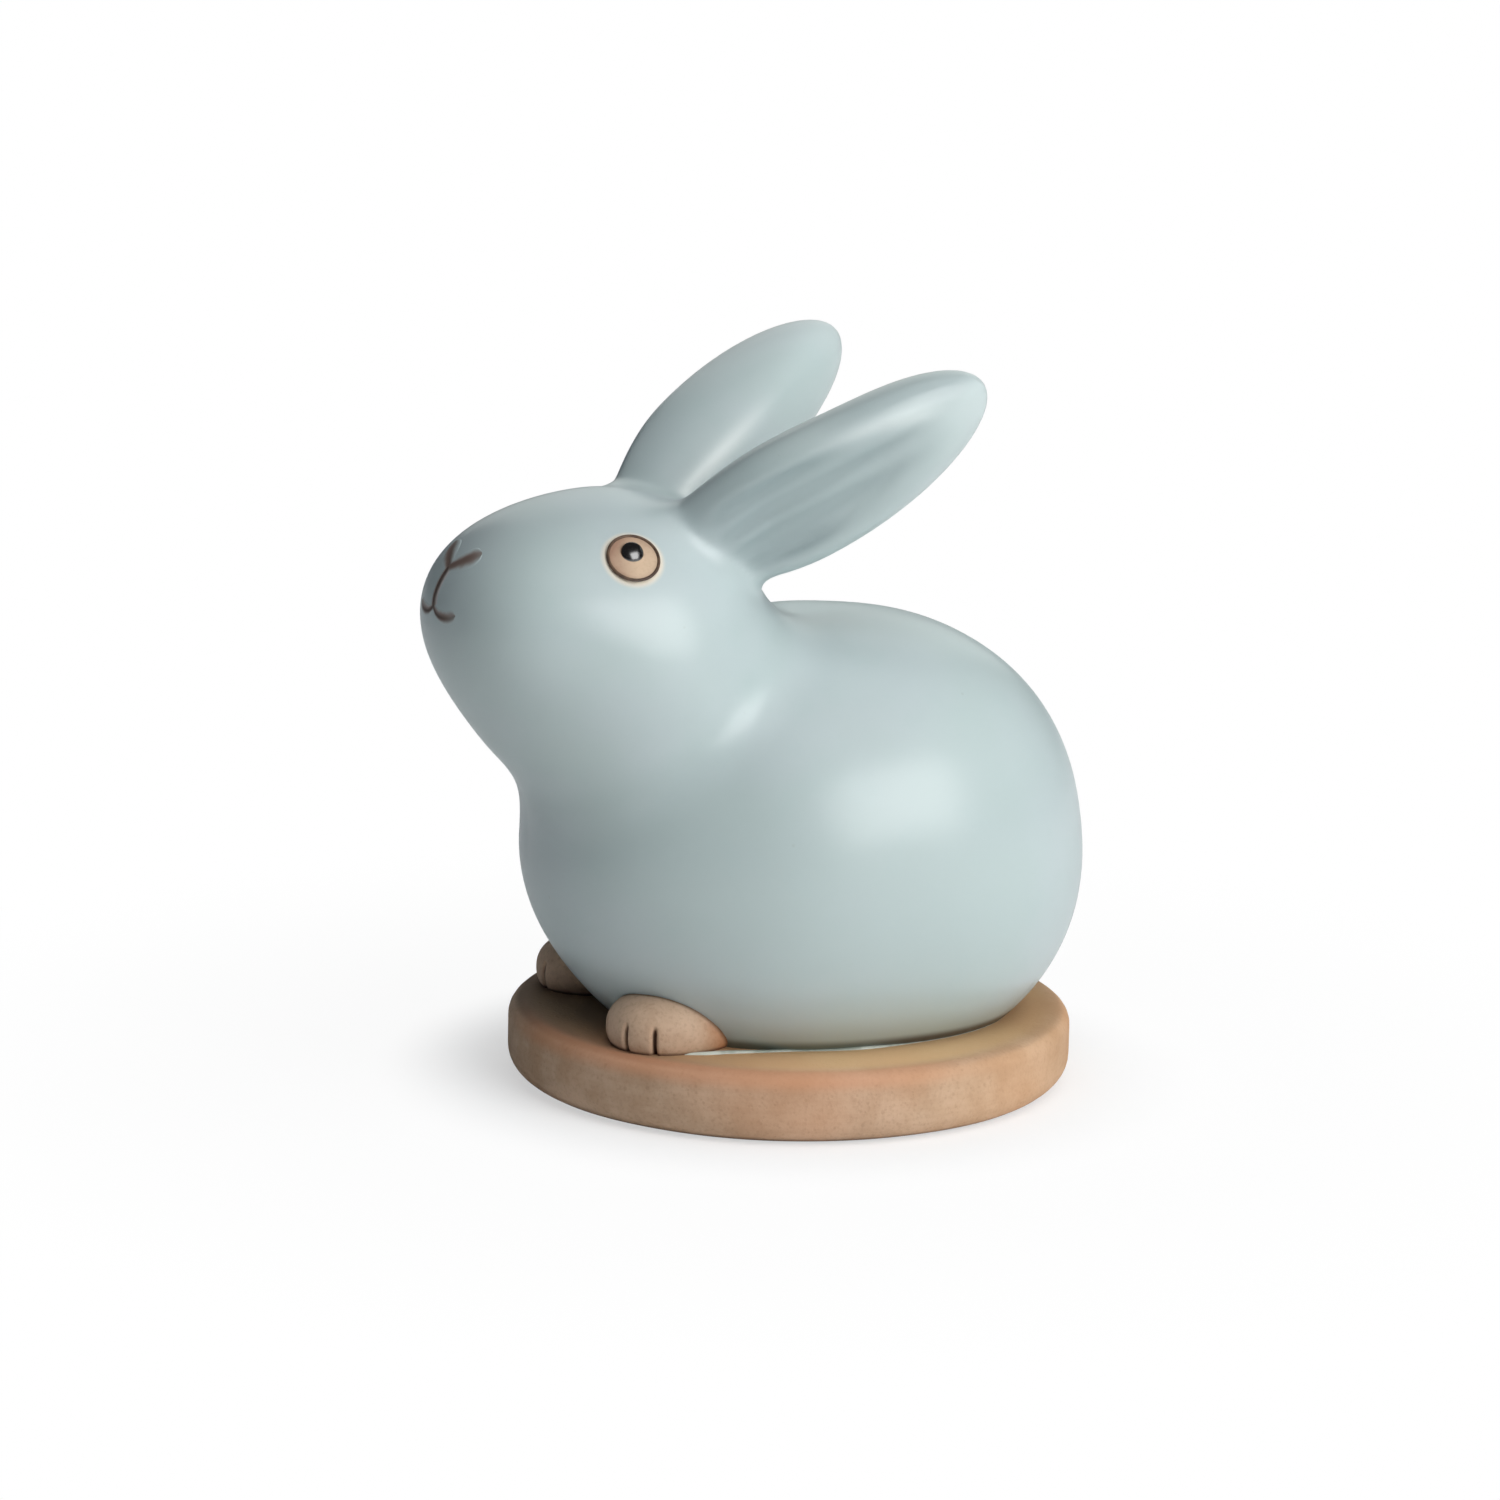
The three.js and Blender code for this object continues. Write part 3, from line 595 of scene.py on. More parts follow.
def shaped(name, tree, sizes, host=None):
    """A plain mesh object made by a tree from a host mesh."""
    piece = bpy.data.objects.new(name, host or bpy.data.meshes.new(name))
    scene.collection.objects.link(piece)
    modifier = piece.modifiers.new("Form", "NODES")
    modifier.node_group = tree
    for item in tree.interface.items_tree:
        if item.in_out == "INPUT" and item.name in sizes:
            modifier[item.identifier] = float(sizes[item.name])
    graph = bpy.context.evaluated_depsgraph_get()
    formed = piece.evaluated_get(graph)
    mesh = bpy.data.meshes.new_from_object(formed, preserve_all_data_layers=True, depsgraph=graph)
    piece.modifiers.clear()
    piece.data = mesh
    mesh.name = name
    return piece


def vector(sheet, operation, *values, **named):
    output = "Value" if operation in ("DOT_PRODUCT", "DISTANCE") else 0
    inputs = {**dict(enumerate(values)), **named}
    return sheet.node("ShaderNodeVectorMath", {"operation": operation}, inputs, output)


def split(sheet, place):
    return sheet.node("ShaderNodeSeparateXYZ", (), {0: place}, "all")


def position_in_mm(sheet):
    return split(sheet, vector(sheet, "SCALE", sheet.node("GeometryNodeInputPosition"), Scale=1 / MM))


def moved(sheet, geometry, **way):
    """The geometry moved by an Offset or to a Position."""
    return sheet.node("GeometryNodeSetPosition", (), {"Geometry": geometry, **way})


def skin_of(sheet, form, low, high, grain):
    """The closed skin of a form between two corners, drawn exactly onto it."""
    density = {"Density": limited(0.5 - form / SKIN_FADE), "Background": 0.0}
    corners = {"Min": [value * MM for value in low], "Max": [value * MM for value in high]}
    counts = {f"Resolution {axis}": (high[i] - low[i]) / grain for i, axis in enumerate("XYZ")}
    cloud = sheet.node("GeometryNodeVolumeCube", (), {**density, **corners, **counts})
    meshed = {"Volume": cloud, "Threshold": 0.5, "Adaptivity": 0.0}
    skin = sheet.node("GeometryNodeVolumeToMesh", (), meshed)
    inward = vector(sheet, "SCALE", sheet.node("GeometryNodeInputNormal"), Scale=form * -MM)
    for _ in range(SKIN_PULLS):
        skin = moved(sheet, skin, Offset=inward)
    return skin


def kept(sheet, geometry, name, value, kind="FLOAT", domain="POINT"):
    """The geometry with a value kept on it, to be read by name."""
    settings = {"data_type": kind, "domain": domain}
    inputs = {"Geometry": geometry, "Name": name, "Value": value}
    return sheet.node("GeometryNodeStoreNamedAttribute", settings, inputs)


def read_back(sheet, name, kind="FLOAT"):
    return sheet.node("GeometryNodeInputNamedAttribute", {"data_type": kind}, {"Name": name}, "Attribute")


def line_host(name, lines, **values):
    """A host mesh of lines through points in millimetres, with values kept on the points."""
    points, edges = [], []
    for line in lines:
        edges += [(i, i + 1) for i in range(len(points), len(points) + len(line) - 1)]
        points += [Vector(point) * MM for point in line]
    mesh = bpy.data.meshes.new(name)
    mesh.from_pydata(points, edges, [])
    for key, numbers in values.items():
        mesh.attributes.new(key, "FLOAT", "POINT").data.foreach_set("value", np.array(numbers, np.float32))
    return mesh


def even_line(sheet, host, count):
    """The host's lines as curves with points at even steps."""
    line = sheet.node("GeometryNodeMeshToCurve", (), {0: host})
    return sheet.node("GeometryNodeResampleCurve", (), {"Curve": line, "Count": count})


def bead_along(sheet, line, sides):
    """A closed bead round a line, as thick as the breadth that the line keeps."""
    section = {"Resolution": sides, "Radius": MM}
    circle = sheet.node("GeometryNodeCurvePrimitiveCircle", {"mode": "RADIUS"}, section)
    inputs = {"Curve": line, "Profile Curve": circle, "Scale": read_back(sheet, "breadth"), "Fill Caps": True}
    return sheet.node("GeometryNodeCurveToMesh", (), inputs)


# Shader helpers


def start_finish(name):
    material = bpy.data.materials.new(name)
    material.use_nodes = True
    material.node_tree.nodes.clear()
    return material, Wire(material.node_tree)


def end_finish(sheet, colour, roughness, height, bump=1.0, **settled):
    """Ends a finish in one surface. Height is in millimetres."""
    relief = sheet.node("ShaderNodeBump", (), {"Height": height, "Distance": MM, "Strength": bump})
    inputs = {"Base Color": colour, "Roughness": roughness, "Normal": relief, **settled}
    surface = sheet.node("ShaderNodeBsdfPrincipled", (), inputs)
    sheet.node("ShaderNodeOutputMaterial", (), {"Surface": surface})


def mixed(sheet, share, first, second):
    return sheet.node("ShaderNodeMix", {"data_type": "RGBA"}, {0: share, 6: first, 7: second}, 2)


def noise(sheet, where, scale, detail=2.0, roughness=0.5):
    inputs = {"Vector": where, "Scale": scale, "Detail": detail, "Roughness": roughness}
    return sheet.node("ShaderNodeTexNoise", (), inputs)


def object_place(sheet):
    return sheet.node("ShaderNodeTexCoord", (), (), "Object")


def in_mm(sheet, where):
    return [part * (1 / MM) for part in split(sheet, where)]


def kept_value(sheet, name):
    return sheet.node("ShaderNodeAttribute", {"attribute_name": name}, (), "Fac")


def specks(sheet, where, scale, share, size):
    """Scattered grains: one where a grain lies, nought between."""
    cells = {"Vector": where, "Scale": scale}
    distance, random = sheet.node("ShaderNodeTexVoronoi", (), cells, "all")[:2]
    picked = sheet.node("ShaderNodeSeparateColor", (), {0: random}, 0)
    return (1 - ramp(distance, size * 0.5, size)) * ramp(picked, 1 - share, 1 - share + 0.02)


def celadon(sheet):
    """Place, colour, roughness and height of the pale blue-green glaze."""
    where = object_place(sheet)
    broad = noise(sheet, where, 55)
    cloudy = noise(sheet, where, 240, 3.0)
    fine = noise(sheet, where, 1500)
    pinholes = specks(sheet, where, 420, 0.06, 0.10)
    colour = mixed(sheet, ramp(broad, 0.35, 0.65), GLAZE, GLAZE_BLUER)
    colour = mixed(sheet, 0.3 * ramp(cloudy, 0.5, 0.75), colour, GLAZE_CLOUD)
    colour = mixed(sheet, 0.2 * pinholes, colour, GLAZE_PINHOLE)
    roughness = 0.305 + 0.04 * (cloudy - 0.5) + 0.02 * (fine - 0.5)
    height = 0.06 * broad + 0.004 * cloudy + 0.0006 * fine - 0.008 * pinholes
    return where, colour, roughness, height


def clay(sheet, where, pale, dark, speck):
    """Bare clay: colour and height of soft clouds of two tones with fine dark grains, and both patterns."""
    clouds = noise(sheet, where, 130, 4.0, 0.6)
    grain = noise(sheet, where, 2400, 4.0, 0.65)
    small = specks(sheet, where, 1900, 0.30, 0.40)
    large = specks(sheet, where, 900, 0.10, 0.28)
    colour = mixed(sheet, ramp(clouds, 0.3, 0.7), pale, dark)
    colour = mixed(sheet, 0.12 * small + 0.18 * large, colour, speck)
    colour = mixed(sheet, 0.24 * ramp(grain, 0.45, 0.75), colour, speck)
    height = 0.03 * clouds + 0.035 * grain - 0.015 * small - 0.02 * large
    return colour, height, clouds, grain


# Finishes


def eye_frame(side):
    """Frame of an eye: its origin on the skin, Z outwards, Y up along the skin."""
    centre = on_head(side * EYE_ASIDE, EYE_RISE)
    out = outward(centre)
    across = np.cross((0, 0, 1), out)
    across /= np.linalg.norm(across)
    up = np.cross(out, across)
    return centre, across, up, out


def glaze_finish():
    """Celadon that pools in creases and breaks pale on rims, with painted highlights and painted shade on the
    ears, and darker towards the foot, where a painted contact shadow runs along it.
    """
    material, sheet = start_finish("celadon_glaze")
    where, colour, roughness, height = celadon(sheet)
    colour = mixed(sheet, 0.2 * kept_value(sheet, "pooled"), colour, GLAZE_POOLED)
    # pale broken glaze on ear rims, with painted highlights on the ridge and near the tip
    colour = mixed(sheet, kept_value(sheet, "rim"), colour, GLAZE_BROKEN_AND_HIGHLIGHT)
    # grey glaze gathered in the ears' hollows, with painted shade along their upper edges
    colour = mixed(sheet, 0.8 * kept_value(sheet, "fold_and_shade"), colour, GLAZE_GATHERED_AND_SHADE)
    for side in (1, -1):
        centre = Vector(eye_frame(side)[0]) * MM
        away = vector(sheet, "DISTANCE", where, centre) * (1 / MM)
        halo = 1 - ramp(away, EYE_RADIUS, EYE_RADIUS + EYE_HALO)
        colour = mixed(sheet, 0.9 * halo, colour, EYE_HALO_CREAM)
    x, y, z = in_mm(sheet, where)
    above_disc = z - DISC_THICKNESS
    # greyer towards the foot: thinner glaze there and painted shade
    colour = mixed(sheet, 0.35 * (1 - ramp(above_disc, 0.4, 4.5)), colour, FOOT_SHADE_AND_THIN_GLAZE)
    # painted contact shadow along the foot with the dark glaze edge, turning to a painted dark brown shadow
    # under the overhanging rear
    towards_tail = ramp(0.35 * abs(x) + y, 4, 15)
    line = mixed(sheet, towards_tail, FOOT_DARK_EDGE_AND_SHADOW, FOOT_SHADOW_REAR)
    colour = mixed(sheet, 0.9 * (1 - ramp(above_disc, 0.4, 1.5)), colour, line)
    end_finish(sheet, colour, roughness, height, IOR=1.6)
    return material


def disc_finish():
    """Turned clay, darker on top towards the head, partly fire flashing and partly painted shade under the
    head and paws, flushed by the fire along its edge, and with a painted contact shadow at its foot.
    """
    material, sheet = start_finish("disc_clay")
    where = object_place(sheet)
    colour, height, _, grain = clay(sheet, where, *DISC_CLAY)
    x, y, z = in_mm(sheet, where)
    radius = (x * x + y * y) ** 0.5
    flush = noise(sheet, where, 42)
    rings = sheet.node("ShaderNodeMapping", (), {"Vector": where, "Scale": (0.25, 0.25, 5.0)})
    turning = noise(sheet, rings, 420)
    on_top = ramp(z, DISC_THICKNESS - 0.5, DISC_THICKNESS - 0.02)
    colour = mixed(sheet, 0.10 * ramp(turning, 0.4, 0.7) * (1 - on_top), colour, DISC_TURNING)
    colour = mixed(sheet, 0.8 * on_top * (1 - ramp(radius, 26, 29.5)), colour, DISC_TOP)
    # darker top towards the head: fire flashing and painted shade under the head and between the paws
    scorched_and_shaded = (1 - ramp(y + 6 * (flush - 0.5), -26, -4)) * on_top
    colour = mixed(sheet, 0.72 * scorched_and_shaded, colour, DISC_SCORCH_AND_SHADE)
    edge = ramp(z, 5.4, 7.0) * ramp(radius, 27, 28.8)
    fired_side = ramp((0.75 * x - 0.65 * y) / radius, 0.1, 0.95)
    fired_edge = edge * fired_side * ramp(flush, 0.3, 0.6)
    colour = mixed(sheet, 0.55 * fired_edge, colour, DISC_FIRED_EDGE)
    colour = mixed(sheet, 0.4 * ramp(flush, 0.5, 0.72), colour, DISC_FLUSH)
    rear_top = on_top * ramp(y + 8 * (flush - 0.5), 2, 24)
    colour = mixed(sheet, 0.5 * rear_top, colour, DISC_TOP_REAR)
    # painted contact shadow along the bottom edge
    colour = mixed(sheet, 0.7 * (1 - ramp(z, 0.1, 0.8)), colour, DISC_CONTACT_SHADOW)
    rear_side = ramp((0.33 * x + 0.94 * y) / radius, 0.2, 0.9) * (1 - on_top)
    colour = mixed(sheet, 0.4 * rear_side, colour, DISC_REAR_SIDE)
    height = height + 0.012 * turning * (1 - on_top)
    end_finish(sheet, colour, 0.78 + 0.12 * (grain - 0.5), height, **{"Specular IOR Level": 0.3})
    return material


def paw_finish():
    """Clay that reddens towards the heel and darkens in its cuts, with painted shade in the crevices where it
    meets the body and the disc.
    """
    material, sheet = start_finish("paw_clay")
    where = object_place(sheet)
    colour, height, clouds, grain = clay(sheet, where, *PAW_CLAY)
    reddened = ramp(kept_value(sheet, "heel") + 0.3 * (clouds - 0.5), 0.45, 0.95)
    colour = mixed(sheet, 0.85 * reddened, colour, PAW_HEEL)
    colour = mixed(sheet, 0.9 * ramp(kept_value(sheet, "toe_cut"), 0.25, 0.8), colour, PAW_CUT)
    # painted crevice shade
    colour = mixed(sheet, 0.75 * kept_value(sheet, "crevice_shade"), colour, PAW_CREVICE_SHADE)
    end_finish(sheet, colour, 0.72 + 0.12 * (grain - 0.5), height, **{"Specular IOR Level": 0.3})
    return material


def eye_clay_finish():
    """Pale clay, shaded above, in front and along the ring."""
    material, sheet = start_finish("eye_clay")
    colour, height, _, grain = clay(sheet, object_place(sheet), *EYE_CLAY)
    upward, away, behind = (
        kept_value(sheet, name) * (1 / (MM * EYE_RADIUS)) for name in ("upward", "radius", "behind")
    )
    shade = 0.1 + 0.4 * ramp(upward, -0.2, 0.8) + 0.6 * (1 - ramp(behind, -0.8, 0.2))
    shade = limited(shade + 0.25 * ramp(away, 0.7, 0.95))
    colour = mixed(sheet, 0.9 * shade, colour, EYE_SHADE)
    end_finish(sheet, colour, 0.42 + 0.1 * (grain - 0.5), height, 0.5)
    return material


def ring_finish():
    """Dark iron slip in the ring round an eye."""
    material, sheet = start_finish("iron_slip_ring")
    worn = noise(sheet, object_place(sheet), 1100, 3.0)
    colour = mixed(sheet, ramp(worn, 0.35, 0.7), RING_DARK, RING_WORN)
    end_finish(sheet, colour, 0.35 + 0.2 * worn, 0.03 * worn)
    return material


def stroke_finish():
    """Iron slip in a cut line: dark along its middle, tan beside it, running out into the glaze, with a
    painted highlight along one lip.
    """
    material, sheet = start_finish("iron_slip")
    where, colour, _, height = celadon(sheet)
    aside = kept_value(sheet, "aside")
    strength = kept_value(sheet, "strength")
    worn = noise(sheet, where, 1300, 3.0)
    edge = abs(aside) + 0.35 * (worn - 0.5)
    colour = mixed(sheet, 0.55 * strength * (1 - ramp(edge, 0.3, 0.98)), colour, STROKE_WASH)
    colour = mixed(sheet, 0.85 * strength * (1 - ramp(edge, 0.15, 0.78)), colour, STROKE_SLIP)
    colour = mixed(sheet, kept_value(sheet, "inked") * bell(aside / 0.34), colour, STROKE_INK)
    # painted highlight on the far lip of the cut
    lit_lip = kept_value(sheet, "lit") * bell((aside - 0.72) / 0.2)
    colour = mixed(sheet, 0.5 * lit_lip, colour, STROKE_LIT)
    end_finish(sheet, colour, 0.35 + 0.2 * worn, height - 0.12 * bell(aside / 0.45))
    return material


def pupil_finish():
    material, sheet = start_finish("pupil_glaze")
    depth = noise(sheet, object_place(sheet), 900)
    colour = mixed(sheet, depth, PUPIL_BLACK, PUPIL_BROWN)
    end_finish(sheet, colour, 0.18 + 0.06 * depth, 0.002 * depth, IOR=2.2)
    return material


def run_finish():
    """Thick milky glaze."""
    material, sheet = start_finish("pooled_glaze")
    where, _, _, height = celadon(sheet)
    milky = noise(sheet, where, 260, 3.0)
    colour = mixed(sheet, ramp(milky, 0.40, 0.62), RUN_GREY, RUN_MILKY)
    end_finish(sheet, colour, 0.16 + 0.1 * milky, height, IOR=1.55)
    return material


# Pieces


def hand_over(piece, slot, *nodes):
    """A finished piece takes its place on the body."""
    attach(piece, "root")
    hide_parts(*nodes)


def make_rabbit():
    """The glazed body, head, ears and tail, fused by the glaze."""
    sheet, sizes = start_tree("Glazed rabbit", ["Grain"])
    x, y, z = position_in_mm(sheet)
    torso, head = torso_form(x, y, z), head_form(x, y, z)
    form = run_together(torso, head, neck_blend(z))
    form = run_together(form, tail_form(x, y, z), TAIL_BLEND)
    bare = least(torso, head)
    tones = []
    for side in (1, -1):
        ear = ear_form(x, y, z, side)
        bare = least(bare, ear)
        form = run_together(form, ear, EAR_BLEND)
        tones.append(ear_tones(x, y, z, side, ear))
    form = most(form, DISC_THICKNESS - FOOT_SINK - z)
    skin = skin_of(sheet, form, RABBIT_LOW, RABBIT_HIGH, sizes["Grain"])
    skin = kept(sheet, skin, "pooled", ramp(bare - form, *GLAZE_POOL_DEPTH))
    # pale broken glaze with painted highlights, then gathered grey glaze with painted shade, from both ears
    for name, left, right in zip(("rim", "fold_and_shade"), *tones):
        skin = kept(sheet, skin, name, most(left, right))
    tree = end_tree(sheet, skin, glaze_finish())
    piece = shaped("glazed_rabbit", tree, {"Grain": RABBIT_GRAIN})
    hand_over(piece, "celadon_glaze", "torso_shell", "head_shell", "left_ear", "right_ear", "tail")


def make_paws():
    finish = paw_finish()
    for name, side in (("left", 1), ("right", -1)):
        level = np.array([side * math.sin(PAW_ASIDE), -math.cos(PAW_ASIDE), 0])
        middle = exit_point((0, 0, PAW_HEIGHT), level) - PAW_SINK * level
        sheet, sizes = start_tree(f"{name} paw", ["Grain"])
        x, y, z = position_in_mm(sheet)
        out, along = turned_to(x - middle[0], y - middle[1], side * PAW_TOE_OUT)
        out = side * out
        drawn = along - HEEL_DRAWN * most(along, 0)
        up = (z - middle[2]) * (1 + HEEL_DROP * ramp(along, *HEEL_RANGE))
        form = rounded((out, drawn, up), PAW_SIZE, PAW_FULLNESS)
        above_disc = z - DISC_THICKNESS
        cut = 0
        for aside in TOE_CUTS:
            beside = out * math.cos(aside) + along * math.sin(aside)
            ahead = out * math.sin(aside) - along * math.cos(aside)
            cut = cut + bell(beside / TOE_CUT_WIDTH) * ramp(ahead, *TOE_CUT_START)
        cut = cut * (1 - ramp(above_disc, *TOE_CUT_TOP))
        form = form + TOE_CUT_DEPTH * cut
        figure = figure_form(x, y, z)
        # painted shade in the crevices along the body and the disc
        crevice_shade = most(1 - ramp(figure, *CREVICE_SHADE_AT_BODY), 1 - ramp(above_disc, *CREVICE_SHADE_AT_DISC))
        form = most(form, -PAW_IN_BODY - figure)
        form = most(form, DISC_THICKNESS - PAW_IN_DISC - z)
        low = (middle - (*PAW_REACH, PAW_BELOW)).tolist()
        high = (middle + (*PAW_REACH, PAW_ABOVE)).tolist()
        skin = skin_of(sheet, form, low, high, sizes["Grain"])
        skin = kept(sheet, skin, "toe_cut", cut)
        skin = kept(sheet, skin, "crevice_shade", crevice_shade)
        skin = kept(sheet, skin, "heel", limited(0.5 + along / PAW_SIZE[1]))
        tree = end_tree(sheet, skin, finish)
        piece = shaped(f"{name}_paw_fired", tree, {"Grain": PAW_GRAIN})
        hand_over(piece, "paw_clay", f"{name}_front_paw")


def turning_tree(name, finish, worked=None):
    """Turns a host line of radius and height about Z into a closed piece, which may be worked further."""
    sheet, given = start_tree(name, ["Sides", "Rungs", "Wobble"])
    line = sheet.node("GeometryNodeMeshToCurve", (), {0: given["Geometry"]})
    cells = {"Vertices X": given["Sides"] + 1, "Vertices Y": given["Rungs"]}
    grid, uv = sheet.node("GeometryNodeMeshGrid", (), cells, "all")
    turn, rung, _ = split(sheet, uv)
    by_share = {"mode": "FACTOR", "use_all_curves": True}
    sampled = sheet.node("GeometryNodeSampleCurve", by_share, {"Curves": line, "Factor": rung}, "Position")
    radius, _, height = split(sheet, sampled)
    angle = turn * (2 * math.pi)
    x, y = radius * angle.math("COSINE", angle), radius * sine(angle)
    place = sheet.node("ShaderNodeCombineXYZ", (), {0: x, 1: y, 2: height})
    piece = kept(sheet, grid, "upward", y)
    piece = kept(sheet, piece, "behind", x)
    piece = kept(sheet, piece, "radius", radius)
    piece = moved(sheet, piece, Position=place)
    piece = sheet.node("GeometryNodeMergeByDistance", (), {"Geometry": piece, "Distance": 0.004 * MM})
    broad = {"Scale": 45.0, "Detail": 1.0}
    uneven = sheet.node("ShaderNodeTexNoise", (), broad, "Color")
    middled = vector(sheet, "SUBTRACT", uneven, (0.5, 0.5, 0.5))
    offset = vector(sheet, "SCALE", middled, Scale=given["Wobble"] * MM)
    piece = moved(sheet, piece, Offset=offset)
    if worked:
        piece = worked(sheet, piece)
    return end_tree(sheet, piece, finish)


def vented(sheet, piece):
    """The disc with its kiln vent cut through and the edges of the cut kept sharp."""
    cut = {"Vertices": VENT_SIDES, "Radius": VENT_RADIUS * MM, "Depth": 4 * DISC_THICKNESS * MM}
    drill = sheet.node("GeometryNodeMeshCylinder", (), cut)
    placed = {"Geometry": drill, "Translation": (0, VENT_BEHIND_CENTRE * MM, 0)}
    drill = sheet.node("GeometryNodeTransform", (), placed)
    exact = {"operation": "DIFFERENCE", "solver": "EXACT"}
    piece = sheet.node("GeometryNodeMeshBoolean", exact, {"Mesh 1": piece, "Mesh 2": drill})
    angle = sheet.node("GeometryNodeInputMeshEdgeAngle")
    sharp = angle.math("GREATER_THAN", angle, VENT_CREASE)
    return kept(sheet, piece, "sharp_edge", sharp, "BOOLEAN", "EDGE")


def quarter(radius, height, round_radius, start, steps=10):
    """Points of a rounded edge about a place in the profile."""
    points = []
    for step in range(steps + 1):
        angle = start + math.pi / 2 * step / steps
        points.append((radius + round_radius * math.cos(angle), 0, height + round_radius * math.sin(angle)))
    return points


def face_out(mesh):
    """Points every face of a closed mesh outwards."""
    work = bmesh.new()
    work.from_mesh(mesh)
    bmesh.ops.recalc_face_normals(work, faces=work.faces)
    work.to_mesh(mesh)
    work.free()


def make_disc():
    lower = quarter(DISC_RADIUS - DISC_LOWER_EDGE, DISC_LOWER_EDGE, DISC_LOWER_EDGE, -math.pi / 2)
    top = quarter(DISC_RADIUS - DISC_TOP_EDGE, DISC_THICKNESS - DISC_TOP_EDGE, DISC_TOP_EDGE, 0)
    profile = [(0, 0, 0), *lower, *top, (0, 0, DISC_THICKNESS)]
    tree = turning_tree("Turned disc", disc_finish(), vented)
    sizes = {"Sides": DISC_SIDES, "Rungs": DISC_RUNGS, "Wobble": DISC_WOBBLE}
    piece = shaped("clay_disc", tree, sizes, line_host("disc profile", [profile]))
    face_out(piece.data)
    hand_over(piece, "disc_clay", "base_disc")


def eye_matrix(side, above, lean):
    centre, across, up, out = eye_frame(side)
    place = (centre + EYE_LIFT * out + above * up) * MM
    turn = Matrix((side * across, up, out)).transposed().to_4x4()
    return Matrix.Translation(place) @ turn @ Matrix.Rotation(lean, 4, "X")


def pad_profile():
    inner = EYE_RADIUS - EYE_LINE
    outer = inner + PAD_UNDER_LINE
    return [
        (0, 0, -PAD_DEPTH),
        (outer, 0, -PAD_DEPTH),
        (outer, 0, PAD_RISE),
        (inner * PAD_DIP_AT, 0, PAD_DIP),
        (0, 0, PAD_RISE),
    ]


def ring_profile():
    middle, half = EYE_RADIUS - EYE_LINE / 2, EYE_LINE / 2
    angles = np.linspace(0, 2 * math.pi, 25)
    return [(middle + half * math.cos(a), 0, PAD_DIP + EYE_LINE_PROUD * math.sin(a)) for a in angles]


def bead_profile():
    angles = np.linspace(0, math.pi / 2, 12)
    dome = [(PUPIL_RADIUS * math.cos(a), 0, PUPIL_DOME * math.sin(a)) for a in angles]
    return [(0, 0, -PUPIL_DEPTH), (PUPIL_RADIUS, 0, -PUPIL_DEPTH), *dome]


def make_eyes():
    pad_tree = turning_tree("Turned pad", eye_clay_finish())
    ring_tree = turning_tree("Turned ring", ring_finish())
    bead_tree = turning_tree("Turned bead", pupil_finish())
    sizes = {"Sides": EYE_SIDES, "Rungs": EYE_RUNGS, "Wobble": 0.0}
    for name, side in (("left", 1), ("right", -1)):
        for kind, tree, profile, slot, above, lean in (
            ("eye_pad", pad_tree, pad_profile(), "eye_clay", 0.0, 0.0),
            ("eye_line", ring_tree, ring_profile(), "iron_slip", 0.0, 0.0),
            ("pupil", bead_tree, bead_profile(), "pupil_glaze", PUPIL_ABOVE_EYE, PUPIL_LEAN),
        ):
            host = line_host(f"{name} {kind} profile", [profile])
            piece = shaped(f"{name}_{kind}_fired", tree, sizes, host)
            piece.data.transform(eye_matrix(side, above, lean))
            face_out(piece.data)
            hand_over(piece, slot, f"{name}_{kind}")


def stroke_points(angles):
    """A smooth line on the head through a few angles, given in degrees."""
    angles = np.radians(np.array(angles, float))
    knots = np.linspace(0, 1, len(angles))
    spread = np.linspace(0, 1, STROKE_POINTS)
    fit = [np.polyval(np.polyfit(knots, angles[:, i], len(angles) - 1), spread) for i in (0, 1)]
    return [on_head(aside, rise) for aside, rise in zip(*fit)]


def stroke_breadths(points, widest, free_end):
    """Half breadths along a stroke, which swells towards a free end and rounds off there."""
    steps = np.linalg.norm(np.diff(points, axis=0), axis=1)
    run = np.concatenate([[0], np.cumsum(steps)])
    if not free_end:
        return np.full(len(run), widest)
    swell = widest * (0.6 + 0.4 * ramp(run / run[-1], 0, 0.6))
    left = np.clip((run[-1] - run) / widest, 0.02, 1)
    return swell * np.sqrt(1 - (1 - left) ** 2)


def stroke_host():
    """The lines of nose and mouth, each with its breadth, slip, ink and lit lip."""
    lines = []
    values = {"breadth": [], "strength": [], "inked": [], "lit": []}
    for side in (1, -1):
        for stroke in STROKES:
            if side not in stroke["sides"]:
                continue
            line = stroke_points([(side * aside, rise) for aside, rise in stroke["angles"]])
            fading = stroke["free"] * ramp(np.linspace(0, 1, len(line)), 0.6, 1)
            breadths = stroke_breadths(line, stroke["breadth"], stroke["free"])
            lines.append(line[::side])
            values["breadth"] += list(breadths[::side])
            values["strength"] += list((1 - 0.35 * fading)[::side])
            values["inked"] += list((stroke["ink"] * (1 - 0.7 * fading))[::side])
            values["lit"] += [stroke["lit"]] * len(line)
    return line_host("strokes", lines, **values)


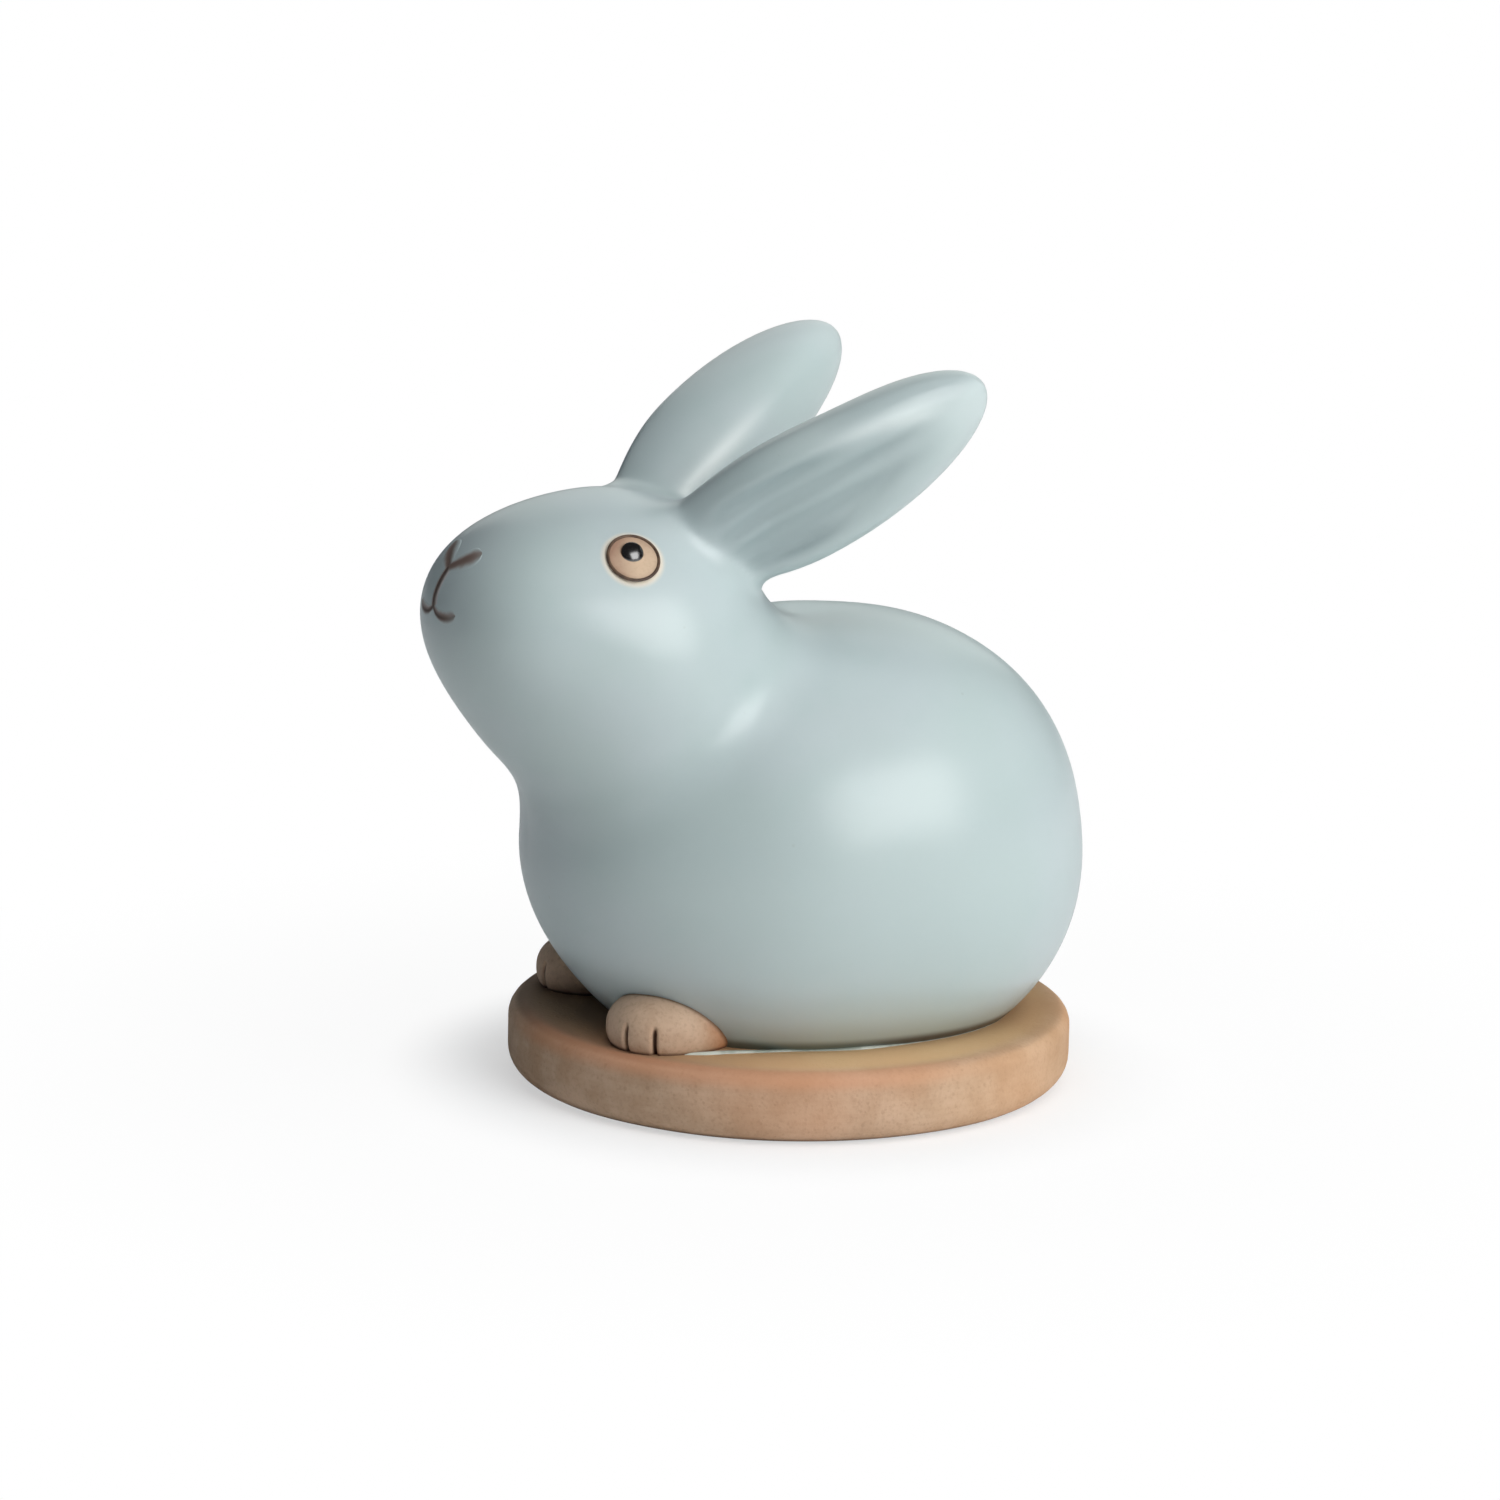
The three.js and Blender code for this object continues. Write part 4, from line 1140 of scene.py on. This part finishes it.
def make_nose_and_mouth():
    """Strokes of dark slip along the cut lines of nose and mouth, flush with the skin."""
    sheet, given = start_tree("Slip strokes", ["Proud"])
    place = sheet.node("GeometryNodeInputPosition")
    way = sheet.node("GeometryNodeInputTangent")
    line = even_line(sheet, given["Geometry"], STROKE_RUNGS)
    line = kept(sheet, line, "line_place", place, "FLOAT_VECTOR")
    line = kept(sheet, line, "line_way", way, "FLOAT_VECTOR")
    strokes = bead_along(sheet, line, STROKE_SIDES)
    out = vector(sheet, "NORMALIZE", vector(sheet, "SUBTRACT", place, Vector(head_middle) * MM))
    beside = vector(sheet, "CROSS_PRODUCT", read_back(sheet, "line_way", "FLOAT_VECTOR"), out)
    beside = vector(sheet, "NORMALIZE", beside)
    from_line = vector(sheet, "SUBTRACT", place, read_back(sheet, "line_place", "FLOAT_VECTOR"))
    aside = vector(sheet, "DOT_PRODUCT", from_line, beside) * (1 / MM) / read_back(sheet, "breadth")
    strokes = kept(sheet, strokes, "aside", aside)
    aside = read_back(sheet, "aside")
    crown = given["Proud"] * (1 - aside * aside) - STROKE_SINK
    sunk = most(head_form(*position_in_mm(sheet)) - crown, 0)
    inward = vector(sheet, "SCALE", out, Scale=sunk * -MM)
    strokes = moved(sheet, strokes, Offset=inward)
    tree = end_tree(sheet, strokes, stroke_finish())
    piece = shaped("nose_and_mouth", tree, {"Proud": STROKE_PROUD}, stroke_host())
    hand_over(piece, "iron_slip", "nose_mouth_line")


def run_host():
    """The line of the glaze run: beside the left paw, round the rear, and the same mirrored."""
    points = [np.array([x, y, DISC_THICKNESS]) for x, y in RUN_BESIDE_PAW]
    breadths = list(RUN_PAW_BREADTHS)
    for degrees in np.linspace(*RUN_DEGREES, RUN_POINTS):
        angle = math.radians(degrees)
        level = (math.cos(angle), math.sin(angle), 0)
        points.append(exit_point((0, TORSO_CENTRE[1], DISC_THICKNESS), level))
        swells = [rise * bell((degrees - middle) / spread) for rise, middle, spread in RUN_SWELLS]
        breadths.append(RUN_THINNEST + sum(swells))
    mirrored = [point * (-1, 1, 1) for point in points[-2::-1]]
    return line_host("foot line", [points + mirrored], breadth=breadths + breadths[-2::-1])


def make_run():
    """Glaze that ran down and stands as a low bead round the foot."""
    sheet, given = start_tree("Glaze run", ["Lowness"])
    bead = bead_along(sheet, even_line(sheet, given["Geometry"], RUN_RUNGS), RUN_SIDES)
    x, y, z = split(sheet, sheet.node("GeometryNodeInputPosition"))
    top = DISC_THICKNESS * MM
    low = sheet.node("ShaderNodeCombineXYZ", (), {0: x, 1: y, 2: top + (z - top) * given["Lowness"]})
    bead = moved(sheet, bead, Position=low)
    tree = end_tree(sheet, bead, run_finish())
    piece = shaped("glaze_run", tree, {"Lowness": RUN_LOWNESS}, run_host())
    hand_over(piece, "pooled_glaze", "foot_glaze")


# Stage, lights and camera


def make_floor():
    """White paper that shows the soft shadow of the disc and runs out into the white room."""
    bpy.ops.mesh.primitive_grid_add(x_subdivisions=8, y_subdivisions=8, size=8)
    floor = bpy.context.object
    floor.name = "studio_floor"
    material, sheet = start_finish("studio_floor")
    where = object_place(sheet)
    x, y, _ = split(sheet, where)
    away = (x * x + y * y) ** 0.5
    colour = mixed(sheet, noise(sheet, where, 300), PAPER, PAPER_PALE)
    matt = {"Base Color": colour, "Roughness": 0.9, "Specular IOR Level": 0.1}
    paper = sheet.node("ShaderNodeBsdfPrincipled", (), matt)
    white = sheet.node("ShaderNodeEmission", (), {"Color": WHITE})
    seen = sheet.node("ShaderNodeLightPath", (), (), "Is Camera Ray")
    fading = 0.55 + 0.38 * ramp(away, 0.029, 0.045) + 0.07 * ramp(away, 0.045, 0.11)
    surface = sheet.node("ShaderNodeMixShader", (), {0: seen * fading, 1: paper, 2: white})
    sheet.node("ShaderNodeOutputMaterial", (), {"Surface": surface})
    floor.data.materials.append(material)


def make_world():
    """A white room to the eye that itself lights and mirrors only a little."""
    world = bpy.data.worlds.new("studio")
    scene.world = world
    world.use_nodes = True
    world.node_tree.nodes.clear()
    sheet = Wire(world.node_tree)
    mirrored = sheet.node("ShaderNodeLightPath", (), (), "Is Glossy Ray")
    seen = sheet.node("ShaderNodeLightPath", (), (), "Is Camera Ray")
    colour = mixed(sheet, seen, mixed(sheet, mirrored, ROOM_LIGHT, ROOM_MIRRORED), WHITE)
    light = sheet.node("ShaderNodeBackground", (), {"Color": colour})
    sheet.node("ShaderNodeOutputWorld", (), {"Surface": light})


def direction_to(azimuth, elevation):
    """The way from the object to a lamp or the camera. Azimuth runs from the face round the left side."""
    flat = math.cos(elevation)
    return Vector((math.sin(azimuth) * flat, -math.cos(azimuth) * flat, math.sin(elevation)))


def make_lamp(name, azimuth, elevation, distance, size, power, colour=(1, 1, 1), mirrored=False):
    """A rectangular softbox. Angles are in degrees, distance and size in metres."""
    away = direction_to(math.radians(azimuth), math.radians(elevation))
    data = bpy.data.lights.new(name, "AREA")
    data.shape = "RECTANGLE"
    data.size, data.size_y = size
    data.energy = power
    data.color = colour
    lamp = bpy.data.objects.new(name, data)
    lamp.location = Vector((0, 0, LAMP_AIM_HEIGHT * MM)) + away * distance
    lamp.rotation_mode = "QUATERNION"
    lamp.rotation_quaternion = away.to_track_quat("Z", "Y")
    lamp.visible_glossy = mirrored
    scene.collection.objects.link(lamp)


def make_lamps():
    make_lamp("key_softbox", 111, 24, distance=0.62, size=(0.43, 0.40), power=2.2, mirrored=True)
    make_lamp("side_panel", 152, 40, distance=0.95, size=(0.95, 0.90), power=3.45)
    make_lamp("top_softbox", 95, 70, distance=0.62, size=(0.40, 0.40), power=1.25)
    green, blue = (0.95, 1.0, 0.97), (0.7, 0.83, 1.0)
    make_lamp("back_softbox", 250, 28, 0.62, (0.50, 0.50), power=0.65, colour=green, mirrored=True)
    make_lamp("fill_softbox", 318, 24, 0.62, (0.40, 0.40), power=0.13, colour=blue)


def make_camera():
    back = direction_to(CAMERA_AZIMUTH, CAMERA_ELEVATION)
    right = Vector((math.cos(CAMERA_AZIMUTH), math.sin(CAMERA_AZIMUTH), 0))
    target = right * LOOK_ASIDE * MM + Vector((0, 0, LOOK_HEIGHT * MM))
    data = bpy.data.cameras.new("photo_camera")
    data.lens = CAMERA_LENS
    data.clip_start, data.clip_end = 0.01, 20
    camera = bpy.data.objects.new("photo_camera", data)
    level = Matrix((right, back.cross(right), back)).transposed().to_4x4()
    place = Matrix.Translation(target + back * CAMERA_AWAY * MM)
    camera.matrix_world = place @ level @ Matrix.Rotation(CAMERA_ROLL, 4, "Z")
    scene.collection.objects.link(camera)
    scene.camera = camera


make_rabbit()
make_paws()
make_disc()
make_eyes()
make_nose_and_mouth()
make_run()
make_floor()
make_world()
make_lamps()
make_camera()
scene.view_settings.view_transform = "Standard"
